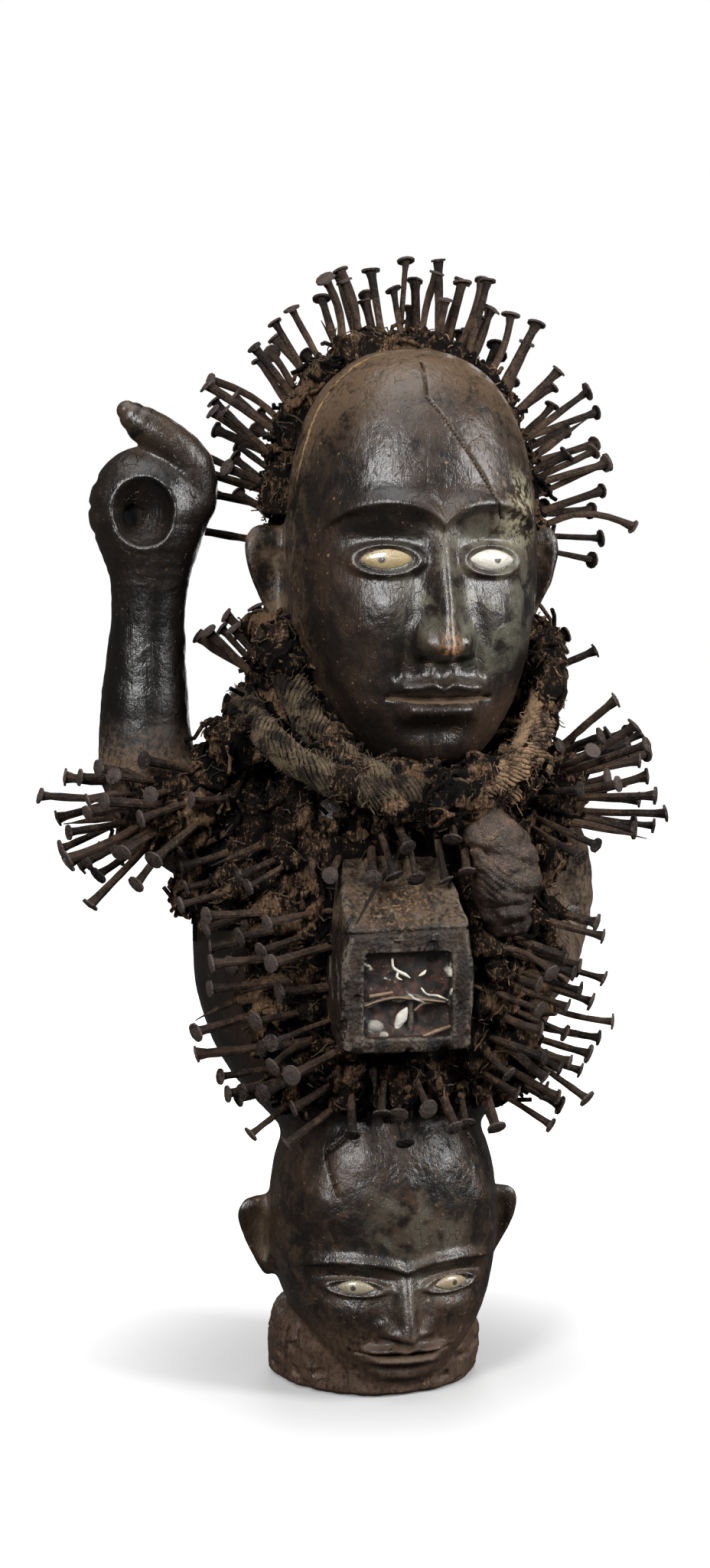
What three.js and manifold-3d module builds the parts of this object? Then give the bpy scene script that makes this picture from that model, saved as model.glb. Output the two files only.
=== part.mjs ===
// A nail-studded power figure carved in wood: a plinth, a smaller head that carries the body, a barrel
// body with one arm raised and one bent to the hip, and a large head under a cap of resin and nails.
// Millimetres, +Z up. The figure faces -Y, and the origin is the centre of the plinth's underside.
import * as THREE from "three";
import { mergeVertices } from "three/addons/utils/BufferGeometryUtils.js";
import Module from "manifold-3d";

const wasm = await Module();
wasm.setup();

// Driving dimensions
const FIGURE_HEIGHT = 777; // the carving alone, without cap and nails
const PLINTH_DIAMETER = 160;
const PLINTH_HEIGHT = 54;
const PLINTH_EDGE = 4;
const FIST_BORE = 26;
const FIST_MOUTH = 48;
const CAP_THICKNESS = 16;
const RESIN_THICKNESS = 15;
const JAW_ROLL_DIAMETER = 26;
const CHEST_ROLL_DIAMETER = 23;
const BOX_WIDTH = 94;
const BOX_HEIGHT = 90;
const BOX_DEPTH = 70;
const BOX_ROOF_RISE = 54;
const BOX_EDGE = 4;
const WINDOW_WIDTH = 68;
const WINDOW_HEIGHT = 64;
const WINDOW_DEPTH = 10;
const WINDOW_DROP = 4;
const REBATE = 3;
const GLASS_THICKNESS = 2.5;
const GLASS_SETBACK = 1.5;
const UPPER_EYE = { width: 38, height: 15 };
const LOWER_EYE = { width: 27, height: 11 };
const EYE_THICKNESS = 6;
const NAIL_SHANK = 6;
const NAIL_HEAD = 14;
const NAIL_HEAD_THICKNESS = 2.6;
const NAIL_ROOT = 12;
const NAIL_SPACING = 1.2;
const FIT_GAP = 0.3;

// The free forms are drawn on a canon 777 units high and keep their share of the figure's height.
const CANON = 777;
const unit = FIGURE_HEIGHT / CANON;
const at = (x, y, z) => new THREE.Vector3(x, y, z).multiplyScalar(unit);
const X_AXIS = new THREE.Vector3(1, 0, 0);
const Z_AXIS = new THREE.Vector3(0, 0, 1);

const clamp01 = (x) => Math.min(1, Math.max(0, x));
const between = (low, high, share) => low + (high - low) * share;
const bell = (x, centre, half) => Math.exp(-(((x - centre) / half) ** 2));
const power = (x, exponent) => Math.sign(x) * Math.abs(x) ** exponent;
const radians = (degrees) => (degrees * Math.PI) / 180;
function rise(from, to, x) {
  const t = clamp01((x - from) / (to - from));
  return t * t * (3 - 2 * t);
}

// A repeatable number from 0 to 1 for the nth of a kind
function chance(n, salt) {
  const s = Math.sin(n * 12.9898 + salt * 78.233) * 43758.5453;
  return s - Math.floor(s);
}

// Moves every vertex of a primitive to where place puts it
function shaped(geometry, place) {
  const positions = geometry.getAttribute("position");
  const v = new THREE.Vector3();
  for (let i = 0; i < positions.count; i++) {
    place(v.fromBufferAttribute(positions, i));
    positions.setXYZ(i, v.x, v.y, v.z);
  }
  return geometry;
}

// One skin without seams, facing outwards, and without the triangles that a pole squeezes flat
function welded(geometry) {
  const bare = new THREE.BufferGeometry();
  bare.setAttribute("position", geometry.getAttribute("position").clone());
  if (geometry.index) bare.setIndex(geometry.index.clone());
  const skin = mergeVertices(bare, 1e-3);
  const positions = skin.getAttribute("position");
  const corners = Array.from(skin.index.array);
  const kept = [];
  let inside = 0;
  for (let i = 0; i < corners.length; i += 3) {
    const [a, b, c] = corners.slice(i, i + 3);
    if (a === b || b === c || c === a) continue;
    kept.push(a, b, c);
    const [p, q, r] = [a, b, c].map((k) => new THREE.Vector3().fromBufferAttribute(positions, k));
    inside += p.dot(q.cross(r));
  }
  skin.setIndex(inside < 0 ? kept.reverse() : kept);
  return skin;
}

// The same form with its skin moved outwards, used to leave a gap round it
function grown(geometry, gap) {
  const skin = welded(geometry);
  skin.computeVertexNormals();
  const normals = skin.getAttribute("normal");
  const out = new THREE.Vector3();
  let i = 0;
  return shaped(skin, (v) => v.addScaledVector(out.fromBufferAttribute(normals, i++), gap));
}

function solid(geometry) {
  const skin = welded(geometry);
  return new wasm.Manifold(
    new wasm.Mesh({
      numProp: 3,
      vertProperties: skin.getAttribute("position").array,
      triVerts: new Uint32Array(skin.index.array),
    }),
  );
}

const joined = (solids) => solids.reduce((all, one) => all.add(one));
const without = (whole, tools) => tools.reduce((rest, tool) => rest.subtract(tool), whole);
const solidOf = (geometries) => joined(geometries.map((geometry) => solid(geometry)));
const roomFor = (geometries) => solidOf(geometries.map((geometry) => grown(geometry, FIT_GAP)));

// The largest body that a cut leaves
function largest(cut) {
  return cut.decompose().reduce((a, b) => (b.volume() > a.volume() ? b : a));
}

function node(name, manifold, material) {
  const mesh = manifold.getMesh();
  const geometry = new THREE.BufferGeometry();
  geometry.setAttribute("position", new THREE.BufferAttribute(mesh.vertProperties, 3));
  geometry.setIndex(new THREE.BufferAttribute(mesh.triVerts, 1));
  const made = new THREE.Mesh(geometry, material);
  made.name = name;
  return made;
}

// Primitives with their pole or axis turned upright
const upright = (geometry) => geometry.rotateX(Math.PI / 2);
const unitBall = (columns, rows) => upright(new THREE.SphereGeometry(1, columns, rows));
const unitTube = (columns, rows) => upright(new THREE.CylinderGeometry(1, 1, 1, columns, rows));
const profilePoints = (profile) => profile.map(([x, y]) => new THREE.Vector2(x, y));

function ballForm({ centre, half }, columns, rows) {
  return shaped(unitBall(columns, rows), (v) =>
    v.copy(at(centre[0] + half[0] * v.x, centre[1] + half[1] * v.y, centre[2] + half[2] * v.z)),
  );
}

// A limb: a capsule bent along a line of stations, each a point with the radius there
function limbForm(stations, columns, rows) {
  const line = new THREE.CatmullRomCurve3(stations.map(([x, y, z]) => new THREE.Vector3(x, y, z)));
  const radii = new THREE.CatmullRomCurve3(stations.map(([, , , r]) => new THREE.Vector3(r, 0, 0)));
  return shaped(unitTube(columns, rows), (v) => {
    const along = v.z + 0.5;
    const middle = line.getPoint(along);
    const radius = radii.getPoint(along).x;
    const forward = line.getTangent(along);
    const across = new THREE.Vector3(0, 1, 0).cross(forward).normalize();
    const deep = forward.clone().cross(across);
    middle.addScaledVector(across, v.x * radius).addScaledVector(deep, v.y * radius);
    v.copy(middle.multiplyScalar(unit));
  });
}

// Materials
const material = (color, roughness, metalness = 0) =>
  new THREE.MeshStandardMaterial({ color, roughness, metalness });
const wood = material(0x2b231d, 0.45);
const resin = material(0x3d2d20, 0.95);
const fibre = material(0x6b5539, 0.95);
const iron = material(0x4a3b35, 0.75, 0.6);
const hide = material(0x3a2c24, 0.55);
const glass = material(0x8f9794, 0.15);
const ceramic = material(0xd9cfb2, 0.3);

// A head is an egg with a face carved on its front. Half gives its half width, depth and height, fullness
// how square its crown is, jut how far the chin comes forward, eyeLine the height of the eyes as a share of
// the half height, and relief the depth of the carving. An ear stands out, thick and tall by these amounts,
// and lies above and behind the egg's middle by rise and back.
const UPPER_HEAD = {
  centre: [21, -30, 617],
  half: [94, 108, 160],
  fullness: 2.5,
  tilt: 0,
  jut: 38,
  eyeLine: 0,
  relief: 1,
  ear: { out: 26, thick: 11, tall: 43, rise: -15, back: 22 },
};
const LOWER_HEAD = {
  centre: [3, -18, 118],
  half: [86, 82, 106],
  fullness: 2.6,
  tilt: 4,
  jut: 42,
  eyeLine: -0.26,
  relief: 0.7,
  ear: { out: 21, thick: 9, tall: 31, rise: -14, back: 16 },
};

// How far the carving stands over the egg. Across runs from -1 to 1 over the half width. Up is 0 at the
// eyes and -1 at the chin.
function faceRelief(across, up) {
  const side = Math.abs(across);
  const down = clamp01((0.14 - up) / 0.54);
  const nose = (4 + 24 * down) * bell(across, 0, 0.08 + 0.13 * down) * rise(-0.47, -0.4, up);
  const browLine = 0.12 + 0.13 * Math.sqrt(clamp01(1 - ((side - 0.42) / 0.42) ** 2));
  const brow = 8 * bell(up, browLine, 0.055) * rise(0.9, 0.76, side);
  const socket = -11 * bell(side, 0.42, 0.3) * bell(up, 0.03, 0.11);
  const upperLip = 11 * bell(up, -0.57, 0.045) * rise(0.42, 0.26, side);
  const lowerLip = 11 * bell(up, -0.68, 0.045) * rise(0.38, 0.22, side);
  const chin = 8 * bell(up, -0.88, 0.12) * bell(across, 0, 0.3);
  const cheek = 4 * bell(side, 0.52, 0.25) * bell(up, -0.26, 0.2);
  return nose * rise(0.22, 0.06, up) + brow + socket + upperLip + lowerLip + chin + cheek;
}

// The bare egg's skin towards a direction, in the head's own axes
function eggSkin(head, direction) {
  const fullness = direction.z > 0 ? head.fullness : 2.1;
  const ring = clamp01(1 - Math.abs(direction.z) ** fullness) ** (1 / fullness);
  const level = Math.hypot(direction.x, direction.y) || 1;
  return new THREE.Vector3(
    head.half[0] * ring * power(direction.x / level, 0.9),
    head.half[1] * ring * power(direction.y / level, 0.9),
    head.half[2] * direction.z,
  );
}

// The same skin with the face carved
function carvedSkin(head, direction) {
  const level = Math.hypot(direction.x, direction.y) || 1;
  const front = rise(0.05, 0.6, -direction.y / level) * rise(0, 0.2, level);
  const skin = eggSkin(head, direction);
  const up = (direction.z - head.eyeLine) / (1 + head.eyeLine);
  const chin = head.jut * Math.min(0, direction.z) ** 2;
  skin.y -= front * (chin + head.relief * faceRelief(skin.x / head.half[0], up));
  return skin;
}

function inPlace(head, v) {
  v.applyAxisAngle(X_AXIS, radians(head.tilt)).add(new THREE.Vector3(...head.centre));
  return v.multiplyScalar(unit);
}

// Columns and rows of the ball crowd towards the face
function headForm(head, columns, rows) {
  return shaped(unitBall(columns, rows), (v) => {
    const turn = Math.atan2(v.x, -v.y);
    const crowded = turn - 0.55 * Math.sin(turn);
    const polar = Math.acos(Math.min(1, Math.max(-1, v.z)));
    const bunched = polar + 0.2 * Math.sin(2 * polar);
    const level = Math.sin(bunched);
    v.set(level * Math.sin(crowded), -level * Math.cos(crowded), Math.cos(bunched));
    v.copy(inPlace(head, carvedSkin(head, v)));
  });
}

// A flared ear, narrow below and drawn out to a corner at its top: a flat ball across the side of the head
function earFlare(high) {
  return between(0.5, 1.3, rise(-1, 0.9, high)) * (high > 0 ? (1.02 - high * high) ** -0.35 : 1);
}

function earPlace(head, side, v) {
  const { ear } = head;
  v.set(side * ear.out * v.x * (v.x > 0 ? earFlare(v.z) : 1), ear.thick * v.y, ear.tall * v.z);
  v.x += side * head.half[0] * 0.99;
  v.y += ear.back - 0.2 * side * (v.x - side * head.half[0]);
  v.z += ear.rise;
  return inPlace(head, v);
}

function earForm(head, side) {
  return shaped(unitBall(6, 7), (v) => earPlace(head, side, v));
}

// The scoop in the ear's front
function earHollow(head, side) {
  return shaped(unitBall(5, 4), (v) => {
    v.set(0.5 + 0.34 * v.x, -1 + 0.75 * v.y, 0.05 + 0.6 * v.z);
    earPlace(head, side, v);
  });
}

// Body: half widths and half depths of its levels
const BODY_CENTRE = [4, 0];
const BODY_LEVELS = [
  { z: 168, wide: 60, deep: 56 },
  { z: 197, wide: 86, deep: 76 },
  { z: 237, wide: 119, deep: 94 },
  { z: 287, wide: 139, deep: 104 },
  { z: 342, wide: 143, deep: 104 },
  { z: 397, wide: 136, deep: 96 },
  { z: 440, wide: 114, deep: 84 },
  { z: 478, wide: 74, deep: 62 },
];
const BODY_FOOT = BODY_LEVELS[0].z;
const BODY_TOP = BODY_LEVELS[BODY_LEVELS.length - 1].z;
const bodyCurve = new THREE.CatmullRomCurve3(
  BODY_LEVELS.map(({ z, wide, deep }) => new THREE.Vector3(wide, deep, z)),
);

// The body's half width and half depth at a height on the canon, found by halving
function bodySection(z) {
  let low = 0;
  let high = 1;
  for (let step = 0; step < 24; step++) {
    const middle = (low + high) / 2;
    if (bodyCurve.getPoint(middle).z < z) low = middle;
    else high = middle;
  }
  const { x: wide, y: deep } = bodyCurve.getPoint(low);
  return { wide, deep };
}

function bodyForm(columns, rows, swell) {
  return shaped(unitTube(columns, rows), (v) => {
    const z = between(BODY_FOOT, BODY_TOP, v.z + 0.5);
    const { wide, deep } = bodySection(z);
    const extra = swell(Math.atan2(v.x, -v.y), z);
    v.copy(at(BODY_CENTRE[0] + v.x * (wide + extra), BODY_CENTRE[1] + v.y * (deep + extra), z));
  });
}

// The raised arm ends in a bored fist with its thumb laid over the top. Stations are x, y, z, radius.
const RAISED_ARM = [
  [-92, 4, 410, 46],
  [-138, 4, 424, 46],
  [-171, 2, 452, 38],
  [-176, 0, 512, 33],
  [-174, -1, 572, 28],
  [-173, -3, 610, 31],
  [-173, -4, 634, 37],
  [-173, -4, 650, 40],
];
const FIST = { centre: [-174, -4, 657], half: [45, 36, 47] };
const THUMB = [
  [-141, -14, 660, 17],
  [-142, -17, 684, 17],
  [-153, -19, 700, 16],
  [-168, -19, 711, 15],
  [-183, -18, 721, 13],
  [-192, -17, 729, 8],
];
const FIST_BORE_CENTRE = [-180, 652];
const NECK = [
  [8, 4, 440, 60],
  [14, -2, 490, 56],
  [21, -8, 550, 56],
];
const BENT_ARM = [
  [98, 8, 422, 40],
  [128, 16, 402, 41],
  [147, 26, 362, 36],
  [144, 10, 324, 27],
  [124, -38, 304, 21],
  [100, -70, 298, 17],
];

function plinthForm() {
  const r = PLINTH_DIAMETER / 2;
  const profile = [
    [0, 0],
    [r - PLINTH_EDGE, 0],
    [r, PLINTH_EDGE],
    [r * 1.01, PLINTH_HEIGHT * 0.6],
    [r * 0.96, PLINTH_HEIGHT * 0.86],
    [r * 0.84, PLINTH_HEIGHT],
    [0, PLINTH_HEIGHT],
  ];
  return upright(new THREE.LatheGeometry(profilePoints(profile), 20));
}

// The hole through the fist, with its wide mouth to the front
function fistBoreForm() {
  const mouth = FIST_MOUTH / 2;
  const bore = FIST_BORE / 2;
  const front = FIST.half[1] * unit;
  const profile = [
    [0, -front - 20],
    [bore, -front - 20],
    [bore, front * 0.1],
    [mouth * 0.74, front * 0.55],
    [mouth, front * 0.98],
    [mouth * 1.4, front * 1.5],
    [0, front * 1.5],
  ];
  return new THREE.LatheGeometry(profilePoints(profile), 12)
    .rotateX(Math.PI)
    .translate(FIST_BORE_CENTRE[0] * unit, FIST.centre[1] * unit, FIST_BORE_CENTRE[1] * unit);
}

const woodForms = [
  plinthForm(),
  headForm(LOWER_HEAD, 18, 16),
  earForm(LOWER_HEAD, -1),
  earForm(LOWER_HEAD, 1),
  bodyForm(16, 6, () => 0),
  limbForm(NECK, 8, 1),
  headForm(UPPER_HEAD, 20, 21),
  earForm(UPPER_HEAD, -1),
  earForm(UPPER_HEAD, 1),
  limbForm(RAISED_ARM, 9, 6),
  ballForm(FIST, 11, 8),
  limbForm(THUMB, 5, 4),
  limbForm(BENT_ARM, 8, 6),
];

// Inlaid eyes: almond lenses set into the carved skin
function eyeForm(head, side, { width, height }) {
  const across = 0.42 * side;
  const direction = new THREE.Vector3(across, -Math.sqrt(1 - across ** 2), head.eyeLine);
  const middle = carvedSkin(head, direction);
  const turned = side * radians(20);
  return shaped(unitBall(6, 6).rotateY(Math.PI / 2), (v) => {
    const open = 0.4 + 0.6 * Math.sqrt(clamp01(1 - v.x * v.x));
    v.set((width / 2) * v.x, (EYE_THICKNESS / 2) * v.y, (height / 2) * v.z * open);
    v.applyAxisAngle(Z_AXIS, turned).divideScalar(unit).add(middle);
    inPlace(head, v);
  });
}

const eyes = {
  upper_right_eye: eyeForm(UPPER_HEAD, -1, UPPER_EYE),
  upper_left_eye: eyeForm(UPPER_HEAD, 1, UPPER_EYE),
  lower_right_eye: eyeForm(LOWER_HEAD, -1, LOWER_EYE),
  lower_left_eye: eyeForm(LOWER_HEAD, 1, LOWER_EYE),
};

// Medicine box: a block with a sloping roof and a rebated window for its glass. The point given is the
// middle of its front face.
const BOX_FRONT = at(-9, -158, 313);

function boxForm(gap = 0) {
  const half = BOX_HEIGHT / 2 + gap;
  const back = BOX_DEPTH + gap;
  const outline = new THREE.Shape(
    profilePoints([
      [BOX_EDGE, -half],
      [-gap, BOX_EDGE - half],
      [-gap, half - BOX_EDGE],
      [BOX_EDGE, half],
      [back, half + BOX_ROOF_RISE],
      [back, -half],
    ]),
  );
  const block = new THREE.ExtrudeGeometry(outline, {
    depth: BOX_WIDTH + 2 * gap - 2 * BOX_EDGE,
    bevelThickness: BOX_EDGE,
    bevelSize: BOX_EDGE,
    bevelOffset: -BOX_EDGE,
    bevelSegments: 1,
  });
  block.translate(0, 0, BOX_EDGE - BOX_WIDTH / 2 - gap).rotateX(Math.PI / 2).rotateZ(Math.PI / 2);
  return block.translate(BOX_FRONT.x, BOX_FRONT.y, BOX_FRONT.z);
}

// A block over the window, smaller all round by a margin, from one depth behind the front to another
function windowBlock(margin, from, to) {
  return new THREE.BoxGeometry(WINDOW_WIDTH - 2 * margin, to - from, WINDOW_HEIGHT - 2 * margin).translate(
    BOX_FRONT.x,
    BOX_FRONT.y + (from + to) / 2,
    BOX_FRONT.z - WINDOW_DROP,
  );
}

// A ring of rope: a torus laid along a closed loop of points
function rollForm(points, diameter, columns, sides) {
  const loop = new THREE.CatmullRomCurve3(points.map((p) => at(...p)), true);
  return shaped(new THREE.TorusGeometry(2, 1, sides, columns), (v) => {
    const column = Math.round((Math.atan2(v.y, v.x) / (2 * Math.PI)) * columns);
    const along = ((column + columns) % columns) / columns;
    const round = Math.atan2(v.z, Math.hypot(v.x, v.y) - 2);
    const forward = loop.getTangent(along);
    const out = forward.clone().cross(Z_AXIS).normalize();
    const up = out.clone().cross(forward);
    v.copy(loop.getPoint(along));
    v.addScaledVector(out, (Math.cos(round) * diameter) / 2);
    v.addScaledVector(up, (Math.sin(round) * diameter) / 2);
  });
}

const JAW_ROLL = [
  [21, -131, 449],
  [78, -114, 464],
  [110, -84, 503],
  [123, -40, 552],
  [116, 34, 562],
  [21, 92, 556],
  [-74, 34, 562],
  [-81, -40, 552],
  [-68, -84, 503],
  [-36, -114, 464],
];
const CHEST_ROLL = [
  [12, -124, 440],
  [72, -108, 446],
  [113, -64, 464],
  [124, 0, 486],
  [100, 62, 500],
  [10, 92, 506],
  [-78, 62, 510],
  [-102, -12, 508],
  [-103, -62, 500],
  [-96, -97, 486],
  [-76, -119, 468],
  [-38, -128, 452],
];
const jawRoll = rollForm(JAW_ROLL, JAW_ROLL_DIAMETER, 20, 6);
const chestRoll = rollForm(CHEST_ROLL, CHEST_ROLL_DIAMETER, 20, 6);

// Hide bundle: a tied bag with a round head and a tapering tail
const BUNDLE = [
  [56, -108, 440, 6],
  [58, -116, 428, 15],
  [66, -120, 408, 23],
  [72, -118, 391, 26],
  [73, -116, 372, 21],
  [75, -112, 356, 16],
  [77, -106, 342, 6],
];
const bundleForm = limbForm(BUNDLE, 8, 8);

// Resin: the body's form swollen where the resin lies, and sunk below the wood elsewhere
function resinSwell(turn, z) {
  const side = Math.abs(turn);
  const drop = 34 * bell(turn, -1.35, 0.5);
  const mantle = rise(362 - drop, 392 - drop, z);
  const belly = rise(1.15, 0.9, side) * rise(196, 220, z);
  const lump = 2 * Math.sin(turn * 9 + z * 0.11) + 1.6 * Math.sin(z * 0.19 - turn * 5);
  return -6 + (RESIN_THICKNESS / unit + 6 + lump) * Math.max(mantle, belly);
}

const RAISED_SHOULDER = { centre: [-135, -2, 430], half: [58, 54, 44] };
const BENT_SHOULDER = { centre: [112, -6, 434], half: [46, 56, 44] };
const NECK_MASS = { centre: [16, 0, 500], half: [118, 92, 60] };
const resinForms = [
  bodyForm(18, 8, resinSwell),
  ballForm(RAISED_SHOULDER, 8, 6),
  ballForm(BENT_SHOULDER, 8, 6),
  ballForm(NECK_MASS, 12, 5),
];

// Cap: an egg round the back of the upper head, cut off behind the face and round the ears
const CAP_FRONT = -24;
function capForm() {
  return shaped(unitBall(16, 12), (v) => {
    const lump = 1.6 * Math.sin(v.x * 11 + v.z * 7) + 1.4 * Math.sin(v.z * 13 - v.y * 9);
    v.copy(inPlace(UPPER_HEAD, eggSkin(UPPER_HEAD, v).addScaledVector(v, CAP_THICKNESS / unit + lump)));
  });
}

function capTrims() {
  const span = 400 * unit;
  const block = () => new THREE.BoxGeometry(span, span, span);
  const face = block().translate(0, -span / 2, 0).rotateX(radians(-5));
  return [
    face.translate(0, CAP_FRONT * unit, 650 * unit),
    block().translate(0, 26 * unit - span / 2, 652 * unit - span / 2),
    block().translate(0, 0, 566 * unit - span / 2),
  ];
}

// Nails stand on these surfaces. Each gives the point and the outward normal for two coordinates.
const onBall = ({ centre, half }) => (turn, lift) => {
  const [t, l] = [radians(turn), radians(lift)];
  const normal = new THREE.Vector3(Math.sin(t) * Math.cos(l), -Math.cos(t) * Math.cos(l), Math.sin(l));
  const [x, y, z] = normal.toArray().map((share, i) => centre[i] + share * (half[i] - 2));
  return { point: at(x, y, z), normal };
};

const surfaces = {
  raisedShoulder: onBall(RAISED_SHOULDER),
  bentShoulder: onBall(BENT_SHOULDER),
  neckMass: onBall(NECK_MASS),
  // the front of the rolls under the chin, at a distance to the side and a height
  collar: (across, z) => ({ point: at(across, -122, z), normal: new THREE.Vector3(0, -1, 0) }),
  // degrees to the side of straight up, and millimetres behind the cap's front edge
  cap(across, back) {
    const a = radians(across);
    const b = Math.asin(clamp01((CAP_FRONT + 8 + back - UPPER_HEAD.centre[1]) / UPPER_HEAD.half[1]));
    const normal = new THREE.Vector3(Math.sin(a) * Math.cos(b), Math.sin(b), Math.cos(a) * Math.cos(b));
    const skin = eggSkin(UPPER_HEAD, normal).addScaledVector(normal, CAP_THICKNESS / unit - 3);
    return { point: inPlace(UPPER_HEAD, skin), normal };
  },
  // degrees from the front, and height on the canon
  body(turn, z) {
    const t = radians(turn);
    const { wide, deep } = bodySection(z);
    const slope = (bodySection(z + 8).wide - wide) / 8;
    const swell = resinSwell(t, z) - 2;
    const normal = new THREE.Vector3(Math.sin(t) / wide, -Math.cos(t) / deep, -slope / wide).normalize();
    const x = BODY_CENTRE[0] + Math.sin(t) * (wide + swell);
    const y = BODY_CENTRE[1] - Math.cos(t) * (deep + swell);
    return { point: at(x, y, z), normal };
  },
};

// Each group stands in rows over a patch of its surface, and leans from the normal. Reach is how far the
// nails stand out, longer the share by which they grow out to the sides, and own is how many of them are
// pieces of their own.
const NAIL_GROUPS = [
  {
    name: "crown_nail",
    on: "cap",
    u: [-82, 82],
    v: [0, 12],
    rows: 1,
    perRow: 19,
    lean: [0, -0.1, 0.05],
    reach: [43, 60],
    longer: 0.36,
    own: 8,
  },
  {
    name: "crown_back_nail",
    on: "cap",
    u: [-77, 77],
    v: [20, 104],
    rows: 4,
    perRow: 10,
    lean: [0, 0, 0.12],
    reach: [42, 60],
    longer: 0.3,
    own: 3,
  },
  {
    name: "raised_shoulder_nail",
    on: "raisedShoulder",
    u: [-112, -24],
    v: [-38, 42],
    rows: 4,
    perRow: 5,
    lean: [-0.9, -0.2, -0.35],
    reach: [46, 78],
    own: 5,
  },
  {
    name: "neck_nail",
    on: "neckMass",
    u: [-124, -76],
    v: [22, 54],
    rows: 3,
    perRow: 4,
    lean: [-0.6, 0.1, 0.7],
    reach: [44, 66],
    own: 1,
  },
  {
    name: "chest_nail",
    on: "collar",
    u: [-26, 46],
    v: [420, 432],
    rows: 2,
    perRow: 4,
    lean: [0, 0.2, -1.4],
    reach: [30, 44],
    own: 2,
  },
  {
    name: "right_flank_nail",
    on: "body",
    u: [-43, -17],
    v: [236, 368],
    rows: 6,
    perRow: 4,
    lean: [-2, 0.05, -0.4],
    reach: [44, 66],
    own: 5,
  },
  {
    name: "left_shoulder_nail",
    on: "bentShoulder",
    u: [0, 118],
    v: [-24, 50],
    rows: 4,
    perRow: 5,
    lean: [1.1, -0.15, 0.1],
    reach: [50, 82],
    own: 5,
  },
  {
    name: "left_flank_nail",
    on: "body",
    u: [18, 45],
    v: [236, 362],
    rows: 6,
    perRow: 4,
    lean: [2, 0.05, -0.8],
    reach: [42, 62],
    own: 4,
  },
  {
    name: "belly_nail",
    on: "body",
    u: [-38, 38],
    v: [222, 256],
    rows: 2,
    perRow: 5,
    lean: [0, -0.5, -0.9],
    reach: [26, 46],
    own: 2,
  },
  {
    name: "back_nail",
    on: "body",
    u: [128, 232],
    v: [386, 438],
    rows: 2,
    perRow: 6,
    lean: [0, 0.3, 0.2],
    reach: [34, 54],
    own: 1,
  },
];

// Places that no nail may cross
const KEEP_CLEAR = [
  { centre: [21, -34, 617], half: [101, 120, 162] },
  { centre: [4, -20, 112], half: [98, 98, 110] },
  { centre: [-9, -130, 318], half: [52, 42, 64] },
  { centre: [70, -118, 392], half: [30, 28, 54] },
  { centre: [-175, 0, 560], half: [38, 40, 92] },
  { centre: FIST.centre, half: [52, 46, 64] },
  { centre: [150, 26, 362], half: [38, 36, 34] },
  { centre: [21, -130, 449], half: [40, 20, 15] },
];

const along = (nail, distance) => nail.root.clone().addScaledVector(nail.direction, distance);

function crossesPlace(nail) {
  return [0.1, 0.3, 0.5, 0.65, 0.8, 0.9, 1].some((share) => {
    const point = along(nail, nail.reach * share).divideScalar(unit).toArray();
    const depthIn = ({ centre, half }) => Math.hypot(...point.map((p, i) => (p - centre[i]) / half[i]));
    return KEEP_CLEAR.some((place) => depthIn(place) < 1);
  });
}

// How near two nails come, as a share of the room that they need
function nearness(a, b) {
  const steps = 12;
  let least = Infinity;
  for (let i = 0; i <= steps; i++) {
    const p = along(a, between(-NAIL_ROOT, a.reach, i / steps));
    for (let j = 0; j <= steps; j++) {
      const q = along(b, between(-NAIL_ROOT, b.reach, j / steps));
      const room = [i, j].reduce((sum, k) => sum + (k === steps ? NAIL_HEAD : NAIL_SHANK) / 2, NAIL_SPACING);
      least = Math.min(least, p.distanceTo(q) / room);
    }
  }
  return least;
}

function placeNails() {
  const placed = [];
  NAIL_GROUPS.forEach((group, salt) => {
    for (let i = 0; i < group.rows * group.perRow; i++) {
      const row = Math.floor(i / group.perRow);
      const column = (i % group.perRow) + (row % 2) * 0.5;
      const shift = (kind) => chance(i + 1, salt * 7 + kind) - 0.5;
      const u = between(...group.u, (column + 0.25 + 0.6 * shift(1)) / group.perRow);
      const v = between(...group.v, (row + 0.5 + 0.6 * shift(2)) / group.rows);
      const { point: root, normal } = surfaces[group.on](u, v);
      const stray = new THREE.Vector3(shift(3), shift(4), shift(5)).multiplyScalar(0.4);
      const direction = normal.add(new THREE.Vector3(...group.lean)).normalize().add(stray).normalize();
      const growth = 1 + ((group.longer ?? 0) * Math.abs(u)) / 90;
      const reach = between(...group.reach, shift(6) + 0.5) * growth * unit;
      const nail = { group, root, direction, reach };
      if (!crossesPlace(nail) && placed.every((other) => nearness(nail, other) >= 1)) placed.push(nail);
    }
  });
  return placed;
}

// A forged nail: a square shank under a low square head
function nailForm({ root, direction, reach }) {
  const shank = NAIL_SHANK / 2;
  const head = NAIL_HEAD / 2;
  const profile = [
    [0, -NAIL_ROOT],
    [shank, 0],
    [shank, reach - NAIL_HEAD_THICKNESS],
    [head, reach - NAIL_HEAD_THICKNESS * 0.5],
    [0, reach],
  ];
  const turn = new THREE.Quaternion().setFromUnitVectors(new THREE.Vector3(0, 1, 0), direction);
  const nail = new THREE.LatheGeometry(profilePoints(profile), 4);
  return nail.applyQuaternion(turn).translate(...root.toArray());
}

// The nails that are pieces of their own are spread evenly over their group. Of the rest, every sixth is
// fused to the resin.
function sortNails(nails) {
  const own = [];
  const fused = [];
  for (const group of NAIL_GROUPS) {
    const members = nails.filter((nail) => nail.group === group);
    const spread = members.length / group.own;
    const picks = Array.from({ length: group.own }, (_, k) => Math.floor((k + 0.5) * spread));
    picks.forEach((pick, k) => {
      own.push({ ...members[pick], name: group.name + "_" + String(k + 1).padStart(2, "0") });
    });
    fused.push(...members.filter((nail, i) => !picks.includes(i)).filter((nail, i) => i % 6 === 2));
  }
  return { own, fused };
}

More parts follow.
